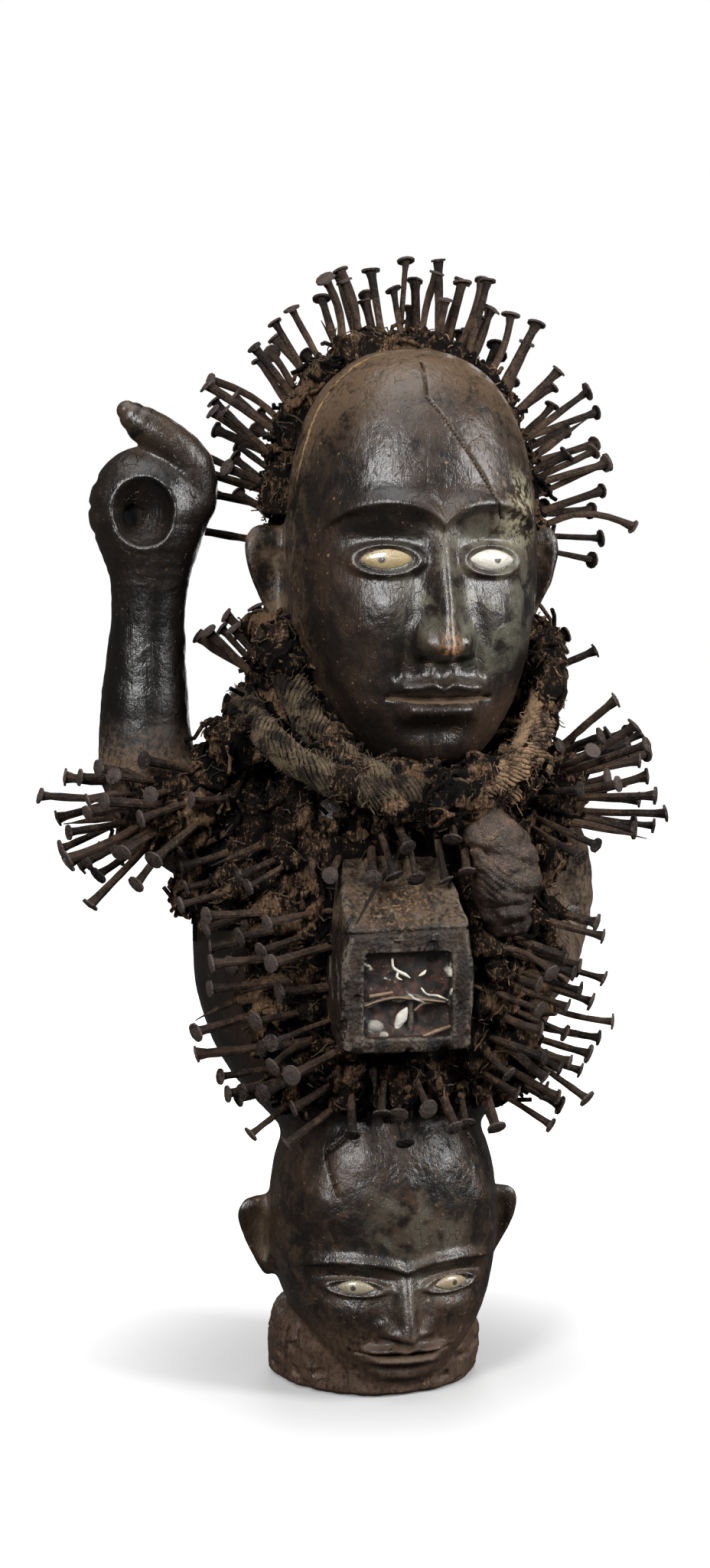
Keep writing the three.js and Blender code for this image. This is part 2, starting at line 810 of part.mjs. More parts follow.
const { own: ownNails, fused: fusedNails } = sortNails(placeNails());
const nailRoom = roomFor(ownNails.map(nailForm));

// Assembly: each piece is cut to leave a gap round the pieces that are set into it
const figure = new THREE.Group();
const add = (name, made, look) => figure.add(node(name, largest(made), look));

const hollows = [-1, 1].flatMap((side) => [earHollow(LOWER_HEAD, side), earHollow(UPPER_HEAD, side)]);
const eyeRoom = roomFor(Object.values(eyes));
const scooped = without(solidOf(woodForms), [...hollows, fistBoreForm()].map(solid));
add("carved_figure", without(scooped, [eyeRoom, nailRoom]), wood);
for (const [name, form] of Object.entries(eyes)) add(name, solid(form), ceramic);

const woodRoom = roomFor(woodForms);
const paneBack = GLASS_SETBACK + GLASS_THICKNESS;
const windowHole = solidOf([windowBlock(0, -5, paneBack + FIT_GAP), windowBlock(REBATE, 0, WINDOW_DEPTH)]);
add("medicine_box", without(solid(boxForm()), [windowHole, woodRoom, nailRoom]), wood);
add("box_glass", solid(windowBlock(FIT_GAP, GLASS_SETBACK, paneBack)), glass);

const boxRoom = solid(boxForm(FIT_GAP));
const jawRoom = roomFor([jawRoll]);
const chestRoom = roomFor([chestRoll]);
add("jaw_roll", without(solid(jawRoll), [woodRoom, nailRoom]), fibre);
add("chest_roll", without(solid(chestRoll), [woodRoom, jawRoom, nailRoom]), fibre);
add("hide_bundle", without(solid(bundleForm), [woodRoom, boxRoom, chestRoom, jawRoom, nailRoom]), hide);

const setIn = [woodRoom, boxRoom, jawRoom, chestRoom, roomFor([bundleForm]), nailRoom];
const isOnCap = (nail) => nail.group.on === "cap";
const capNails = fusedNails.filter(isOnCap).map(nailForm);
const bodyNails = fusedNails.filter((nail) => !isOnCap(nail)).map(nailForm);
const cap = without(solid(capForm()), capTrims().map(solid));
add("head_resin", without(joined([cap, ...capNails.map(solid)]), setIn), resin);
add("body_resin", without(solidOf([...resinForms, ...bodyNails]), setIn), resin);

for (const nail of ownNails) add(nail.name, solid(nailForm(nail)), iron);

export default figure;
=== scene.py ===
"""Looks of a nail-studded power figure: carved wood, resin crust, rope, hide, iron nails, a glazed box.

Lengths inside the shape functions are millimetres of a figure whose carving is 777 high, as in the solids.
MM turns them into metres. The figure faces -Y, and its own right is towards -X.
"""

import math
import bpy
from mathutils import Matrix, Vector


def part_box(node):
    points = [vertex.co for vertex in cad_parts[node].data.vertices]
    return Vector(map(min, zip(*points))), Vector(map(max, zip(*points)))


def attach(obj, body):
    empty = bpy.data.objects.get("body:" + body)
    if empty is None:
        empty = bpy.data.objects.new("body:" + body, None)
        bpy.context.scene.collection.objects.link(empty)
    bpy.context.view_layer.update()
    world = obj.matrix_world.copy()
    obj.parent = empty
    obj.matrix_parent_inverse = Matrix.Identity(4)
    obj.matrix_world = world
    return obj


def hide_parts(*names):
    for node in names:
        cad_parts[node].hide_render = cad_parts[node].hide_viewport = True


bl_info = {
    "name": "Nail-studded power figure",
    "version": (1, 0, 0),
    "blender": (4, 5, 0),
    "location": "View3D > Sidebar > Figure",
    "description": "Dresses the packed solids of a power figure in carved wood, resin, rope, hide and iron",
    "category": "Object",
}

from functools import partial

import bpy
import numpy as np
from mathutils import Vector

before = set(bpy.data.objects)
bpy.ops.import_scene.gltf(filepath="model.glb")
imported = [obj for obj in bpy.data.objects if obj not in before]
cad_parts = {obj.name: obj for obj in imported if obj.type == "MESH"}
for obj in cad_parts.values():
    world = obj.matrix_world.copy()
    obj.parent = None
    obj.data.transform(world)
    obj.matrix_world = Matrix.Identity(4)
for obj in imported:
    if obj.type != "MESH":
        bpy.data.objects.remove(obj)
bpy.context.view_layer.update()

CANON = 777
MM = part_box("carved_figure")[1][2] / CANON


# Numbers and curves


def clamp01(x):
    return np.clip(x, 0, 1)


def rise(low, high, x):
    t = clamp01((x - low) / (high - low))
    return t * t * (3 - 2 * t)


def bell(x, centre, half):
    return np.exp(-(((x - centre) / half) ** 2))


def between(low, high, share):
    return low + (high - low) * share


def unit_vector(v):
    return v / np.linalg.norm(v)


def chance(n, salt):
    """A repeatable number from 0 to 1 for the nth of a kind, the same as in the solids."""
    s = math.sin(n * 12.9898 + salt * 78.233) * 43758.5453
    return s - math.floor(s)


def soft_min(a, b, radius):
    h = clamp01(0.5 + 0.5 * (b - a) / radius)
    return b + (a - b) * h - radius * h * (1 - h)


def soft_max(a, b, radius):
    return -soft_min(-a, -b, radius)


def curve_through(points, samples, closed=False):
    """A centripetal Catmull-Rom curve through points, whose numbers past the third are carried along."""
    points = np.array(points, float)
    count = len(points)
    if closed:
        ring = np.vstack([points[-1], points, points[:2]])
        spans = count
    else:
        ring = np.vstack([2 * points[0] - points[1], points, 2 * points[-1] - points[-2]])
        spans = count - 1
    where = np.linspace(0, spans, samples + 1)
    where = where[:-1] if closed else where
    span = np.minimum(where.astype(int), spans - 1)
    share = where - span
    p0, p1, p2, p3 = (ring[span + k] for k in range(4))
    steps = [np.linalg.norm((b - a)[:, :3], axis=1) ** 0.5 for a, b in ((p0, p1), (p1, p2), (p2, p3))]
    t0 = 0
    t1 = steps[0]
    t2 = t1 + steps[1]
    t3 = t2 + steps[2]
    t = between(t1, t2, share)

    def lean(a, b, ta, tb):
        return a + (b - a) * ((t - ta) / (tb - ta))[:, None]

    a1, a2, a3 = lean(p0, p1, t0, t1), lean(p1, p2, t1, t2), lean(p2, p3, t2, t3)
    b1, b2 = lean(a1, a2, t0, t2), lean(a2, a3, t1, t3)
    return lean(b1, b2, t1, t2)


# Large odd numbers that scatter the bits of a lattice point
LATTICE_FACTORS = (np.uint32(374761393), np.uint32(668265263), np.uint32(2147483647))
LATTICE_MIXER = np.uint32(1274126177)
SEED_FACTOR = 97
LOW_BITS = 0xFFFF


def lattice_value(i, j, k, seed):
    """A repeatable number from -1 to 1 for each point of a whole-number lattice."""
    h = sum(a * factor for a, factor in zip((i, j, k), LATTICE_FACTORS)) + np.uint32(seed * SEED_FACTOR)
    h = (h ^ (h >> np.uint32(13))) * LATTICE_MIXER
    h = (h ^ (h >> np.uint32(16))) & np.uint32(LOW_BITS)
    return h.astype(np.float32) * np.float32(2 / LOW_BITS) - 1


def lumps(p, size, seed, stretch=(1, 1, 1)):
    """Smooth random lumps of about this size, from -1 to 1."""
    cells, shares = [], []
    for a, s in zip(p, stretch):
        scaled = a / (size * s) + 1000
        whole = np.floor(scaled)
        share = (scaled - whole).astype(np.float32)
        cells.append(whole.astype(np.uint32))
        shares.append(share * share * (3 - 2 * share))
    total = 0
    for di in (0, 1):
        for dj in (0, 1):
            for dk in (0, 1):
                weight = 1
                for share, d in zip(shares, (di, dj, dk)):
                    weight = weight * (share if d else 1 - share)
                corner = [cell + np.uint32(d) for cell, d in zip(cells, (di, dj, dk))]
                total = total + weight * lattice_value(*corner, seed)
    return total


# Fields: negative inside, about the distance in millimetres near the skin. A place is (x, y, z), as arrays.


def off_ball(q, half):
    """About how far a place is from a ball's skin. The place is measured in the ball's half sizes."""
    near = np.sqrt(sum(a * a for a in q))
    steep = np.sqrt(sum((a / h) ** 2 for a, h in zip(q, half)))
    return near * (near - 1) / np.maximum(steep, 1e-6)


def ball(p, centre, half):
    return off_ball([(a - c) / h for a, c, h in zip(p, centre, half)], half)


def beside_line(p, start, span):
    """How far places are from a straight line, and how far along it they are, from 0 to 1."""
    share = clamp01(sum((a - s) * d for a, s, d in zip(p, start, span)) / max(span @ span, 1e-3))
    return np.sqrt(sum((a - s - d * share) ** 2 for a, s, d in zip(p, start, span))), share


def limb(p, stations, pieces):
    """A limb along a curve through stations, each a point with the radius there."""
    line = curve_through(stations, pieces)
    nearest = 1e3
    for a, b in zip(line[:-1], line[1:]):
        gap, share = beside_line(p, a, b[:3] - a[:3])
        nearest = np.minimum(nearest, gap - between(a[3], b[3], share))
    return nearest


def within(p, low, high, field, far=40.0):
    """A field worked out only inside a block, and far from the skin elsewhere."""
    inside = np.ones(p[0].shape, bool)
    for a, lowest, highest in zip(p, low, high):
        inside &= (a > lowest) & (a < highest)
    out = np.full(p[0].shape, far, np.float32)
    if inside.any():
        out[inside] = field(tuple(a[inside] for a in p))
    return out


# The heads: tilt in degrees, the chin's jut, the eye line as a share of the half height, and relief as a
# share of the upper head's. An ear has its half sizes and its place above and behind the middle, and an eye
# its width and height.
UPPER_HEAD = {
    "centre": (21, -30, 617),
    "half": (94, 108, 160),
    "fullness": 2.5,
    "tilt": 0,
    "jut": 38,
    "eye_line": 0,
    "relief": 1,
    "ear": {"out": 26, "thick": 11, "tall": 43, "rise": -15, "back": 22},
    "eye": (38, 15),
}
LOWER_HEAD = {
    "centre": (3, -18, 118),
    "half": (86, 82, 106),
    "fullness": 2.6,
    "tilt": 4,
    "jut": 42,
    "eye_line": -0.26,
    "relief": 0.7,
    "ear": {"out": 21, "thick": 9, "tall": 31, "rise": -14, "back": 16},
    "eye": (27, 11),
}
# The heads' fullness below the middle, where a ball has 2, and their roundness from above, where it has 1
JAW_FULLNESS = 2.1
ROUNDNESS = 0.9
EYE_ACROSS = 0.42
EYE_TURN = 20
EYE_THICKNESS = 6
EYE_PUPIL = 0.38
EAR_BOWL_PLACE = (0.42, -1.0, 0.02)
EAR_BOWL_SIZE = (0.5, 0.95, 0.74)


def head_axes(head, p):
    """A place in the head's own axes."""
    x, y, z = (a - c for a, c in zip(p, head["centre"]))
    c, s = math.cos(math.radians(head["tilt"])), math.sin(math.radians(head["tilt"]))
    return x, y * c + z * s, z * c - y * s


def from_head_axes(head, q):
    c, s = math.cos(math.radians(head["tilt"])), math.sin(math.radians(head["tilt"]))
    x, y, z = q
    return tuple(a + b for a, b in zip((x, y * c - z * s, y * s + z * c), head["centre"]))


def egg(head, q):
    """The bare egg: as full as its head says above the middle, rounder below."""
    full = np.where(q[2] > 0, head["fullness"], JAW_FULLNESS).astype(np.float32)
    x, y, z = (np.maximum(np.abs(a) / h, 1e-5) for a, h in zip(q, head["half"]))
    square = 2 / ROUNDNESS
    reach = ((x**square + y**square) ** (full / square) + z**full) ** (1 / full)
    return np.sqrt(sum(a * a for a in q)) * (1 - 1 / np.maximum(reach, 1e-4)) * 0.94


def face_relief(across, up):
    """How far the carving stands over the egg. Up is 0 at the eyes and -1 at the chin."""
    side = np.abs(across)
    down = clamp01((0.14 - up) / 0.54)
    bridge = (4 + 24 * down) * bell(across, 0, 0.075 + 0.075 * down) * rise(-0.47, -0.425, up)
    wings = 11 * bell(side, 0.17, 0.07) * bell(up, -0.37, 0.06) * rise(-0.455, -0.42, up)
    nostrils = -7 * bell(side, 0.11, 0.05) * bell(up, -0.445, 0.022)
    folds = -2.2 * bell(side, 0.27 - 0.28 * (up + 0.37), 0.035)
    folds = folds * rise(-0.66, -0.5, up) * rise(-0.3, -0.42, up)
    arch = 0.11 + 0.14 * np.sqrt(clamp01(1 - ((side - 0.42) / 0.44) ** 2))
    over = up - arch
    ridge = np.where(over > 0, bell(over, 0, 0.06), bell(over, 0, 0.026))
    brow = 8 * ridge * rise(0.92, 0.74, side)
    hollow = -11 * bell(side, 0.43, 0.33) * bell(up, 0.09, 0.085)
    hollow = hollow - 5 * bell(side, 0.42, 0.3) * bell(up, -0.06, 0.1)
    lid_round = np.hypot((side - EYE_ACROSS) / 0.245, (up + 0.002) / 0.068)
    lids = 4.5 * bell(lid_round, 1.0, 0.2) + 2.5 * bell(lid_round, 0, 0.9)
    bow = 0.012 * bell(side, 0.09, 0.07) - 0.01 * bell(side, 0, 0.05)
    part = -0.625 + 0.018 * side
    width = rise(0.41, 0.3, side)
    upper = 10 * bell(up - bow, -0.578, 0.036) * width
    lower = 11 * bell(up, -0.682, 0.045) * rise(0.37, 0.22, side)
    slit = -7.5 * bell(up, part, 0.011) * rise(0.44, 0.36, side)
    philtrum = (1.2 * bell(side, 0.09, 0.035) - 1.6 * bell(side, 0, 0.045)) * bell(up, -0.51, 0.04)
    under = -3 * bell(up, -0.77, 0.04) * bell(across, 0, 0.28)
    chin = 8 * bell(up, -0.89, 0.11) * bell(across, 0, 0.3)
    cheek = 4 * bell(side, 0.52, 0.25) * bell(up, -0.26, 0.2)
    mouth = upper + lower + slit + philtrum + under + chin
    return bridge * rise(0.24, 0.04, up) + wings + nostrils + folds + brow + hollow + lids + mouth + cheek


def face_shift(head, q):
    """How far forward the carving moves the skin at a place in the head's axes."""
    height = np.clip(q[2] / head["half"][2], -1, 1)
    full = np.where(height > 0, head["fullness"], JAW_FULLNESS)
    ring = clamp01(1 - np.abs(height) ** full) ** (1 / full)
    sine = clamp01(np.abs(q[0]) / np.maximum(head["half"][0] * ring, 1e-3)) ** (1 / ROUNDNESS)
    facing = np.sqrt(1 - sine**2) * (q[1] < 8)
    front = rise(0.05, 0.6, facing) * rise(0, 0.2, np.sqrt(1 - height**2))
    up = (height - head["eye_line"]) / (1 + head["eye_line"])
    chin = head["jut"] * np.minimum(0, height) ** 2
    across = q[0] / head["half"][0]
    shift = chin + head["relief"] * face_relief(across, up)
    if head is LOWER_HEAD:
        shift = shift + 2.2 * bell(across, 0, 0.1) * bell(height, 0.36, 0.26)
        shift = shift + 4 * bell(np.hypot((np.abs(across) - 0.74) / 0.15, (height - 0.3) / 0.17), 0.2, 0.75)
    return front * shift


def ear_space(head, side, q):
    """A place measured in the ear's own half sizes, with those half sizes."""
    ear = head["ear"]
    out = side * (q[0] - side * head["half"][0] * 0.99)
    deep = q[1] - ear["back"] + 0.2 * side * (q[0] - side * head["half"][0])
    high = (q[2] - ear["rise"]) / ear["tall"]
    flare = between(0.5, 1.3, rise(-1, 0.9, high))
    flare = flare * np.where(high > 0, (1.02 - np.minimum(high * high, 1)) ** -0.35, 1)
    flare = np.where(out > 0, flare, 1)
    return (out / (ear["out"] * flare), deep / ear["thick"], high), (ear["out"], ear["thick"], ear["tall"])


def ear_field(head, side, q):
    at, half = ear_space(head, side, q)
    bowl = [(a - c) / r for a, c, r in zip(at, EAR_BOWL_PLACE, EAR_BOWL_SIZE)]
    scoop = (np.sqrt(sum(a * a for a in bowl)) - 1) * half[1] * 0.8
    return soft_max(off_ball(at, half), -scoop, 2.5)


def head_field(head, p):
    q = head_axes(head, p)
    skull = egg(head, (q[0], q[1] + face_shift(head, q), q[2]))
    for side in (-1, 1):
        skull = soft_min(skull, ear_field(head, side, q), 5)
    return skull


# The body's middle, and its half width, half depth and height at each level
BODY_CENTRE = (4, 0)
BODY_LEVELS = [
    (60, 56, 168), (86, 76, 197), (119, 94, 237), (139, 104, 287), (143, 104, 342),
    (136, 96, 397), (114, 84, 440), (74, 62, 478),
]
BODY_CURVE = curve_through(BODY_LEVELS, 300)
BODY_SLOPE = np.gradient(BODY_CURVE[:, 0], BODY_CURVE[:, 2])


def body_section(z):
    """The body's half width and half depth at a height."""
    wide = np.interp(z, BODY_CURVE[:, 2], BODY_CURVE[:, 0])
    return wide, np.interp(z, BODY_CURVE[:, 2], BODY_CURVE[:, 1])


def body_field(p, swell=0):
    wide, deep = (a + swell for a in body_section(p[2]))
    x, y = p[0] - BODY_CENTRE[0], p[1] - BODY_CENTRE[1]
    near = np.hypot(x / wide, y / deep)
    steep = np.hypot(x / wide**2, y / deep**2)
    slope = np.interp(p[2], BODY_CURVE[:, 2], BODY_SLOPE)
    side = near * (near - 1) / np.maximum(steep, 1e-5) / np.sqrt(1 + slope**2)
    ends = np.maximum(BODY_LEVELS[0][2] - p[2], p[2] - BODY_LEVELS[-1][2])
    return soft_max(side, ends, 4)


# Limbs go through points with the radius there, and a ball has its centre and half sizes.
RAISED_ARM = [
    (-92, 4, 410, 46), (-138, 4, 424, 46), (-171, 2, 452, 38), (-176, 0, 512, 33),
    (-174, -1, 572, 28), (-173, -3, 610, 31), (-173, -4, 634, 37), (-173, -4, 650, 40),
]
FIST = ((-174, -4, 657), (45, 36, 47))
THUMB = [
    (-141, -14, 660, 17), (-142, -17, 684, 17), (-153, -19, 700, 16), (-168, -19, 711, 15),
    (-183, -18, 721, 13), (-192, -17, 729, 8),
]
FIST_BORE = (-184, -4, 653)
FIST_BORE_RADIUS = 7.5
FIST_MOUTH_RADIUS = 25
NECK = [(8, 4, 440, 60), (14, -2, 490, 56), (21, -8, 550, 56)]
BENT_ARM = [
    (98, 8, 422, 40), (128, 16, 402, 41), (147, 26, 362, 36), (144, 10, 324, 27),
    (124, -38, 304, 21), (100, -70, 298, 17),
]
# Radius and height of the plinth's wall
PLINTH_PROFILE = [(76, 0), (80, 4), (80.8, 32.4), (76.8, 46.4), (67.2, 54)]
# Cracks on the front, through points by their place across and their height
CRACKS = [
    [(17, 762), (15, 735), (26, 719), (38, 700), (50, 682), (58, 668), (68, 647)],
    [(-38, 192), (-44, 187), (-52, 181), (-51, 172), (-48.5, 162), (-46, 152)],
    [(-62, 192), (-66, 185), (-65, 181)],
    [(56, 190), (62, 180), (70, 172)],
]


def plinth_field(p):
    profile = np.array(PLINTH_PROFILE, float)
    radius = np.interp(p[2], profile[:, 1], profile[:, 0])
    chips = 1.6 * lumps(p, 23, 5) + 0.8 * lumps(p, 6, 6) - 2.2 * rise(0.25, 0.6, lumps(p, 13, 7, (1, 1, 0.4)))
    wall = (np.hypot(p[0], p[1]) - radius - chips) * 0.97
    return soft_max(wall, np.maximum(p[2] - profile[-1, 1], -p[2]), 4)


def fist_field(p):
    fist = ball(p, *FIST)
    side = np.hypot(p[0] - FIST[0][0], p[1] - FIST[0][1])
    for level in (634, 654, 674):
        back = rise(-6, 14, p[1]) + rise(-196, -208, p[0]) * rise(-14, -2, p[1])
        fist = fist + 2.2 * bell(p[2] + 0.1 * p[0], level - 18, 2.6) * clamp01(back) * rise(8, 24, side)
    thumb = within(p, (-205, -45, 630), (-115, 20, 745), lambda q: limb(q, THUMB, 8))
    return soft_min(fist, thumb, 5)


def fist_bore(p):
    """The shaft hole, and its mouth that widens to the front."""
    forward = FIST_BORE[1] - p[1]
    slant = np.maximum(0, 22 - forward)
    across = (p[0] - FIST_BORE[0]) * 1.06 + 0.24 * slant
    up = (p[2] - FIST_BORE[2]) * 0.95 + 0.16 * slant
    radial = np.hypot(across, up) + 0.9 * lumps(p, 14, 33)
    mouth = FIST_MOUTH_RADIUS * rise(0, 36, forward) ** 0.9
    return radial - np.maximum(FIST_BORE_RADIUS, mouth + 5 * rise(34, 44, forward))


def crack_depth(p):
    """Fine open cracks on the front of the two heads."""
    depth = 0
    front = rise(-20, -40, p[1])
    for path in CRACKS:
        for (x0, z0), (x1, z1) in zip(path[:-1], path[1:]):
            run, climb = x1 - x0, z1 - z0
            share = clamp01(((p[0] - x0) * run + (p[2] - z0) * climb) / (run**2 + climb**2))
            gap = np.hypot(p[0] - x0 - run * share, p[2] - z0 - climb * share)
            depth = np.maximum(depth, bell(gap, 0, 0.75))
    return depth * front


# The parts that join the plinth: the block that holds each, its field, and how softly it joins
CARVED_PARTS = [
    ((-125, -135, 0), (130, 85, 245), lambda q: head_field(LOWER_HEAD, q), 6),
    ((-175, -130, 145), (180, 130, 500), body_field, 8),
    ((-225, -60, 350), (-30, 65, 700), lambda q: limb(q, RAISED_ARM, 16), 16),
    ((40, -110, 270), (200, 80, 480), lambda q: limb(q, BENT_ARM, 14), 9),
    ((-70, -80, 420), (110, 90, 620), lambda q: limb(q, NECK, 4), 10),
    ((-115, -190, 440), (160, 110, 795), lambda q: head_field(UPPER_HEAD, q), 6),
    ((-235, -60, 595), (-105, 50, 745), fist_field, 9),
]


def carving_field(p):
    """The whole block of wood."""
    wood = within(p, (-95, -95, -12), (95, 95, 66), plinth_field)
    for low, high, part, blend in CARVED_PARTS:
        wood = soft_min(wood, within(p, low, high, part), blend)
    bore = within(p, (-225, -70, 610), (-135, 60, 700), fist_bore)
    wood = soft_max(wood, -bore, 2.5)
    cracks = within(p, (-110, -190, 130), (130, -20, 790), crack_depth, 0.0)
    return wood + 0.55 * lumps(p, 15, 1) + 0.22 * lumps(p, 5, 2) + 3.0 * cracks


# The crust: its thickness, where the cap ends behind the face, its largest lumps and the roll under the chin
RESIN_THICKNESS = 15
CAP_THICKNESS = 16
CAP_FRONT = -24
RAISED_SHOULDER = ((-135, -2, 430), (58, 54, 44))
BENT_SHOULDER = ((112, -6, 434), (46, 56, 44))
NECK_MASS = ((16, 0, 500), (118, 92, 60))
COLLAR = [
    (-12, -120, 446, 6), (4, -124, 442, 13), (40, -120, 440, 15), (74, -106, 444, 15),
    (108, -66, 458, 13), (122, 0, 482, 12),
]


def resin_swell(turn, z):
    """How far the resin's skin lies over the wood's: below it where there is none."""
    drop = 34 * bell(turn, -1.35, 0.5)
    mantle = rise(362 - drop, 392 - drop, z)
    belly = rise(1.15, 0.9, np.abs(turn)) * rise(196, 220, z)
    lump = 2 * np.sin(turn * 9 + z * 0.11) + 1.6 * np.sin(z * 0.19 - turn * 5)
    return -6 + (RESIN_THICKNESS + 6 + lump) * np.maximum(mantle, belly)


def crumbled(p, seed):
    """The crust's own roughness: folds of cloth, clods and crumbs."""
    warp = 4 * lumps(p, 20, seed + 5)
    q = (p[0] + warp, p[1] - warp, p[2] + warp)
    folds = np.abs(lumps(q, 17, seed, (1, 1, 1.6))) * 2.6 - 0.75
    clods = np.abs(lumps(q, 8, seed + 1)) * 2.4 - 0.7
    pits = rise(0.14, 0.5, lumps(q, 13, seed + 3)) * rise(-0.1, 0.3, lumps(p, 34, seed + 4))
    return 5.6 * folds + 3.0 * clods + 1.2 * lumps(p, 3.2, seed + 2) - 17 * pits


def mantle_field(p, roughness=1.0):
    """Resin and cloth on the belly, the chest, the shoulders and the neck."""
    turn = np.arctan2(p[0] - BODY_CENTRE[0], -(p[1] - BODY_CENTRE[1]))
    swell = resin_swell(turn, p[2]) + 4 * lumps(p, 26, 19) * rise(0, 40, p[1])
    crust = body_field(p, swell - 1)
    for place in (RAISED_SHOULDER, BENT_SHOULDER, NECK_MASS):
        crust = soft_min(crust, ball(p, *place), 9)
    collar = within(p, (-60, -160, 400), (160, 50, 520), lambda q: limb(q, COLLAR, 10))
    crust = soft_min(crust, collar, 8)
    gap = np.hypot(np.hypot((p[0] + 78) / 26, (p[1] + 92) / 34), (p[2] - 494) / 17)
    crust = crust + 15 * bell(gap, 0, 1)
    clinging = within(p, (-140, -165, 415), (150, 110, 590), roll_crust)
    crumbs = roughness * crumbled(p, 11) * rise(-6, -2, swell)
    return soft_min(crust - crumbs + 1.5, clinging, 3)


def roll_crust(p):
    """Crust that clings to the fibre rolls in patches, thickest under the chin."""
    rolls = 99
    for line, radius in ((JAW_ROLL, JAW_ROLL_RADIUS), (CHEST_ROLL, CHEST_ROLL_RADIUS)):
        ring = [(*place, radius) for place in (*line, line[0])]
        rolls = np.minimum(rolls, limb(p, ring, 26))
    front = rise(-70, -110, p[1])
    patches = 9 * lumps(p, 24, 81) + 11 * bell(p[0], 24, 46) * front + 9 * rise(520, 540, p[2]) - 3.4
    cloth = ball(p, (-108, -36, 482), (26, 44, 22))
    return soft_min(rolls - np.minimum(patches, 5), cloth, 5) - 0.6 * crumbled(p, 15)


def cap_field(p, roughness=1.0):
    """Resin on the skull, cut off behind the face and round the ears."""
    q = head_axes(UPPER_HEAD, p)
    crust = egg(UPPER_HEAD, q) - CAP_THICKNESS - 0.7 * roughness * crumbled(p, 21)
    wave = 2.5 * lumps(p, 13, 23)
    slope = math.radians(5)
    face = (CAP_FRONT - p[1]) * math.cos(slope) + (p[2] - 650) * math.sin(slope) + wave
    jaw = np.minimum(26 - p[1] + wave, 652 - p[2])
    nape = 566 - p[2] + wave
    return soft_max(soft_max(crust, np.maximum(face, jaw), 4), nape, 4)


# Skins: a mesh round a field


# Steps of the fine lattice in one of the coarse lattice, and points worked out in one go
COARSE = 4
CHUNK = 400000


def sampled(field, low, high, step):
    """The field on a regular lattice, worked out finely only near its skin."""
    blocks = [math.ceil((math.ceil((b - a) / step) + 1) / COARSE) for a, b in zip(low, high)]
    axes = [lowest + step * COARSE * np.arange(n + 1) for lowest, n in zip(low, blocks)]
    corners = np.stack(np.meshgrid(*axes, indexing="ij"), -1).reshape(-1, 3).astype(np.float32)
    rough = in_chunks(field, corners).reshape([n + 1 for n in blocks])
    cells = corners_of(rough)
    lowest = np.minimum.reduce(cells)
    highest = np.maximum.reduce(cells)
    near = (lowest < 0.95 * step * COARSE) & (highest > -0.95 * step * COARSE)
    values = rough[:-1, :-1, :-1].astype(np.float32)
    for axis in range(3):
        values = np.repeat(values, COARSE, axis)
    starts = np.argwhere(near) * COARSE
    inner = np.stack(np.meshgrid(*[np.arange(COARSE)] * 3, indexing="ij"), -1).reshape(-1, 3)
    places = (starts[:, None, :] + inner[None, :, :]).reshape(-1, 3)
    points = (places * step + np.array(low)).astype(np.float32)
    values[places[:, 0], places[:, 1], places[:, 2]] = in_chunks(field, points)
    return values


CORNERS = [(i, j, k) for i in (0, 1) for j in (0, 1) for k in (0, 1)]


def corners_of(values):
    """The values at each of the eight corners of every cell."""
    return [values[i : i - 1 or None, j : j - 1 or None, k : k - 1 or None] for i, j, k in CORNERS]


def in_chunks(field, points):
    """The field at many points, a part at a time so that it stays in fast memory."""
    parts = [points[i : i + CHUNK] for i in range(0, len(points), CHUNK)]
    return np.concatenate([np.asarray(field(tuple(part.T)), np.float32) for part in parts])


def skin_of(values, low, step):
    """Surface nets: one vertex in each cell that the skin crosses, and a quad across each crossed edge."""
    inside = values < 0
    filled = sum(corner.astype(np.int8) for corner in corners_of(inside))
    cells = np.argwhere((filled > 0) & (filled < 8))
    number = np.full(filled.shape, -1, np.int32)
    number[tuple(cells.T)] = np.arange(len(cells))
    at_corner = np.stack([values[tuple((cells + corner).T)] for corner in CORNERS], 1)
    offsets = np.zeros((len(cells), 3), np.float32)
    crossings = np.zeros(len(cells), np.float32)
    for a, b in ((a, b) for a in range(8) for b in range(a + 1, 8) if bin(a ^ b).count("1") == 1):
        va, vb = at_corner[:, a], at_corner[:, b]
        cut = (va < 0) != (vb < 0)
        share = np.where(cut, va / np.where(cut, va - vb, 1), 0)
        start, end = np.array(CORNERS[a], np.float32), np.array(CORNERS[b], np.float32)
        offsets += cut[:, None] * (start + (end - start) * share[:, None])
        crossings += cut
    vertices = (cells + offsets / crossings[:, None]) * step + np.array(low)
    quads = []
    for axis in range(3):
        others = [(axis + 1) % 3, (axis + 2) % 3]
        edges = np.argwhere(np.diff(inside, axis=axis))
        edges = edges[(edges[:, others[0]] > 0) & (edges[:, others[1]] > 0)]
        ring = []
        for du, dv in ((-1, -1), (0, -1), (0, 0), (-1, 0)):
            cell = edges.copy()
            cell[:, others[0]] += du
            cell[:, others[1]] += dv
            ring.append(number[tuple(cell.T)])
        quad = np.stack(ring, 1)
        outward = inside[tuple(edges.T)]
        quads.append(np.where(outward[:, None], quad, quad[:, ::-1]))
    quads = np.concatenate(quads)
    return vertices.astype(np.float32), quads[(quads >= 0).all(1)]


def slopes(field, points, reach=0.5):
    """The field's gradient at many points."""
    out = np.empty_like(points)
    for axis in range(3):
        step = np.zeros(3, np.float32)
        step[axis] = reach
        out[:, axis] = (in_chunks(field, points + step) - in_chunks(field, points - step)) / (2 * reach)
    return out


def added(name, data):
    """A new object in the scene."""
    thing = bpy.data.objects.new(name, data)
    bpy.context.scene.collection.objects.link(thing)
    return thing


def worked_out(thing):
    """The mesh of an object with its modifiers applied."""
    mesh = bpy.data.meshes.new_from_object(thing.evaluated_get(bpy.context.evaluated_depsgraph_get()))
    thing.modifiers.clear()
    return mesh


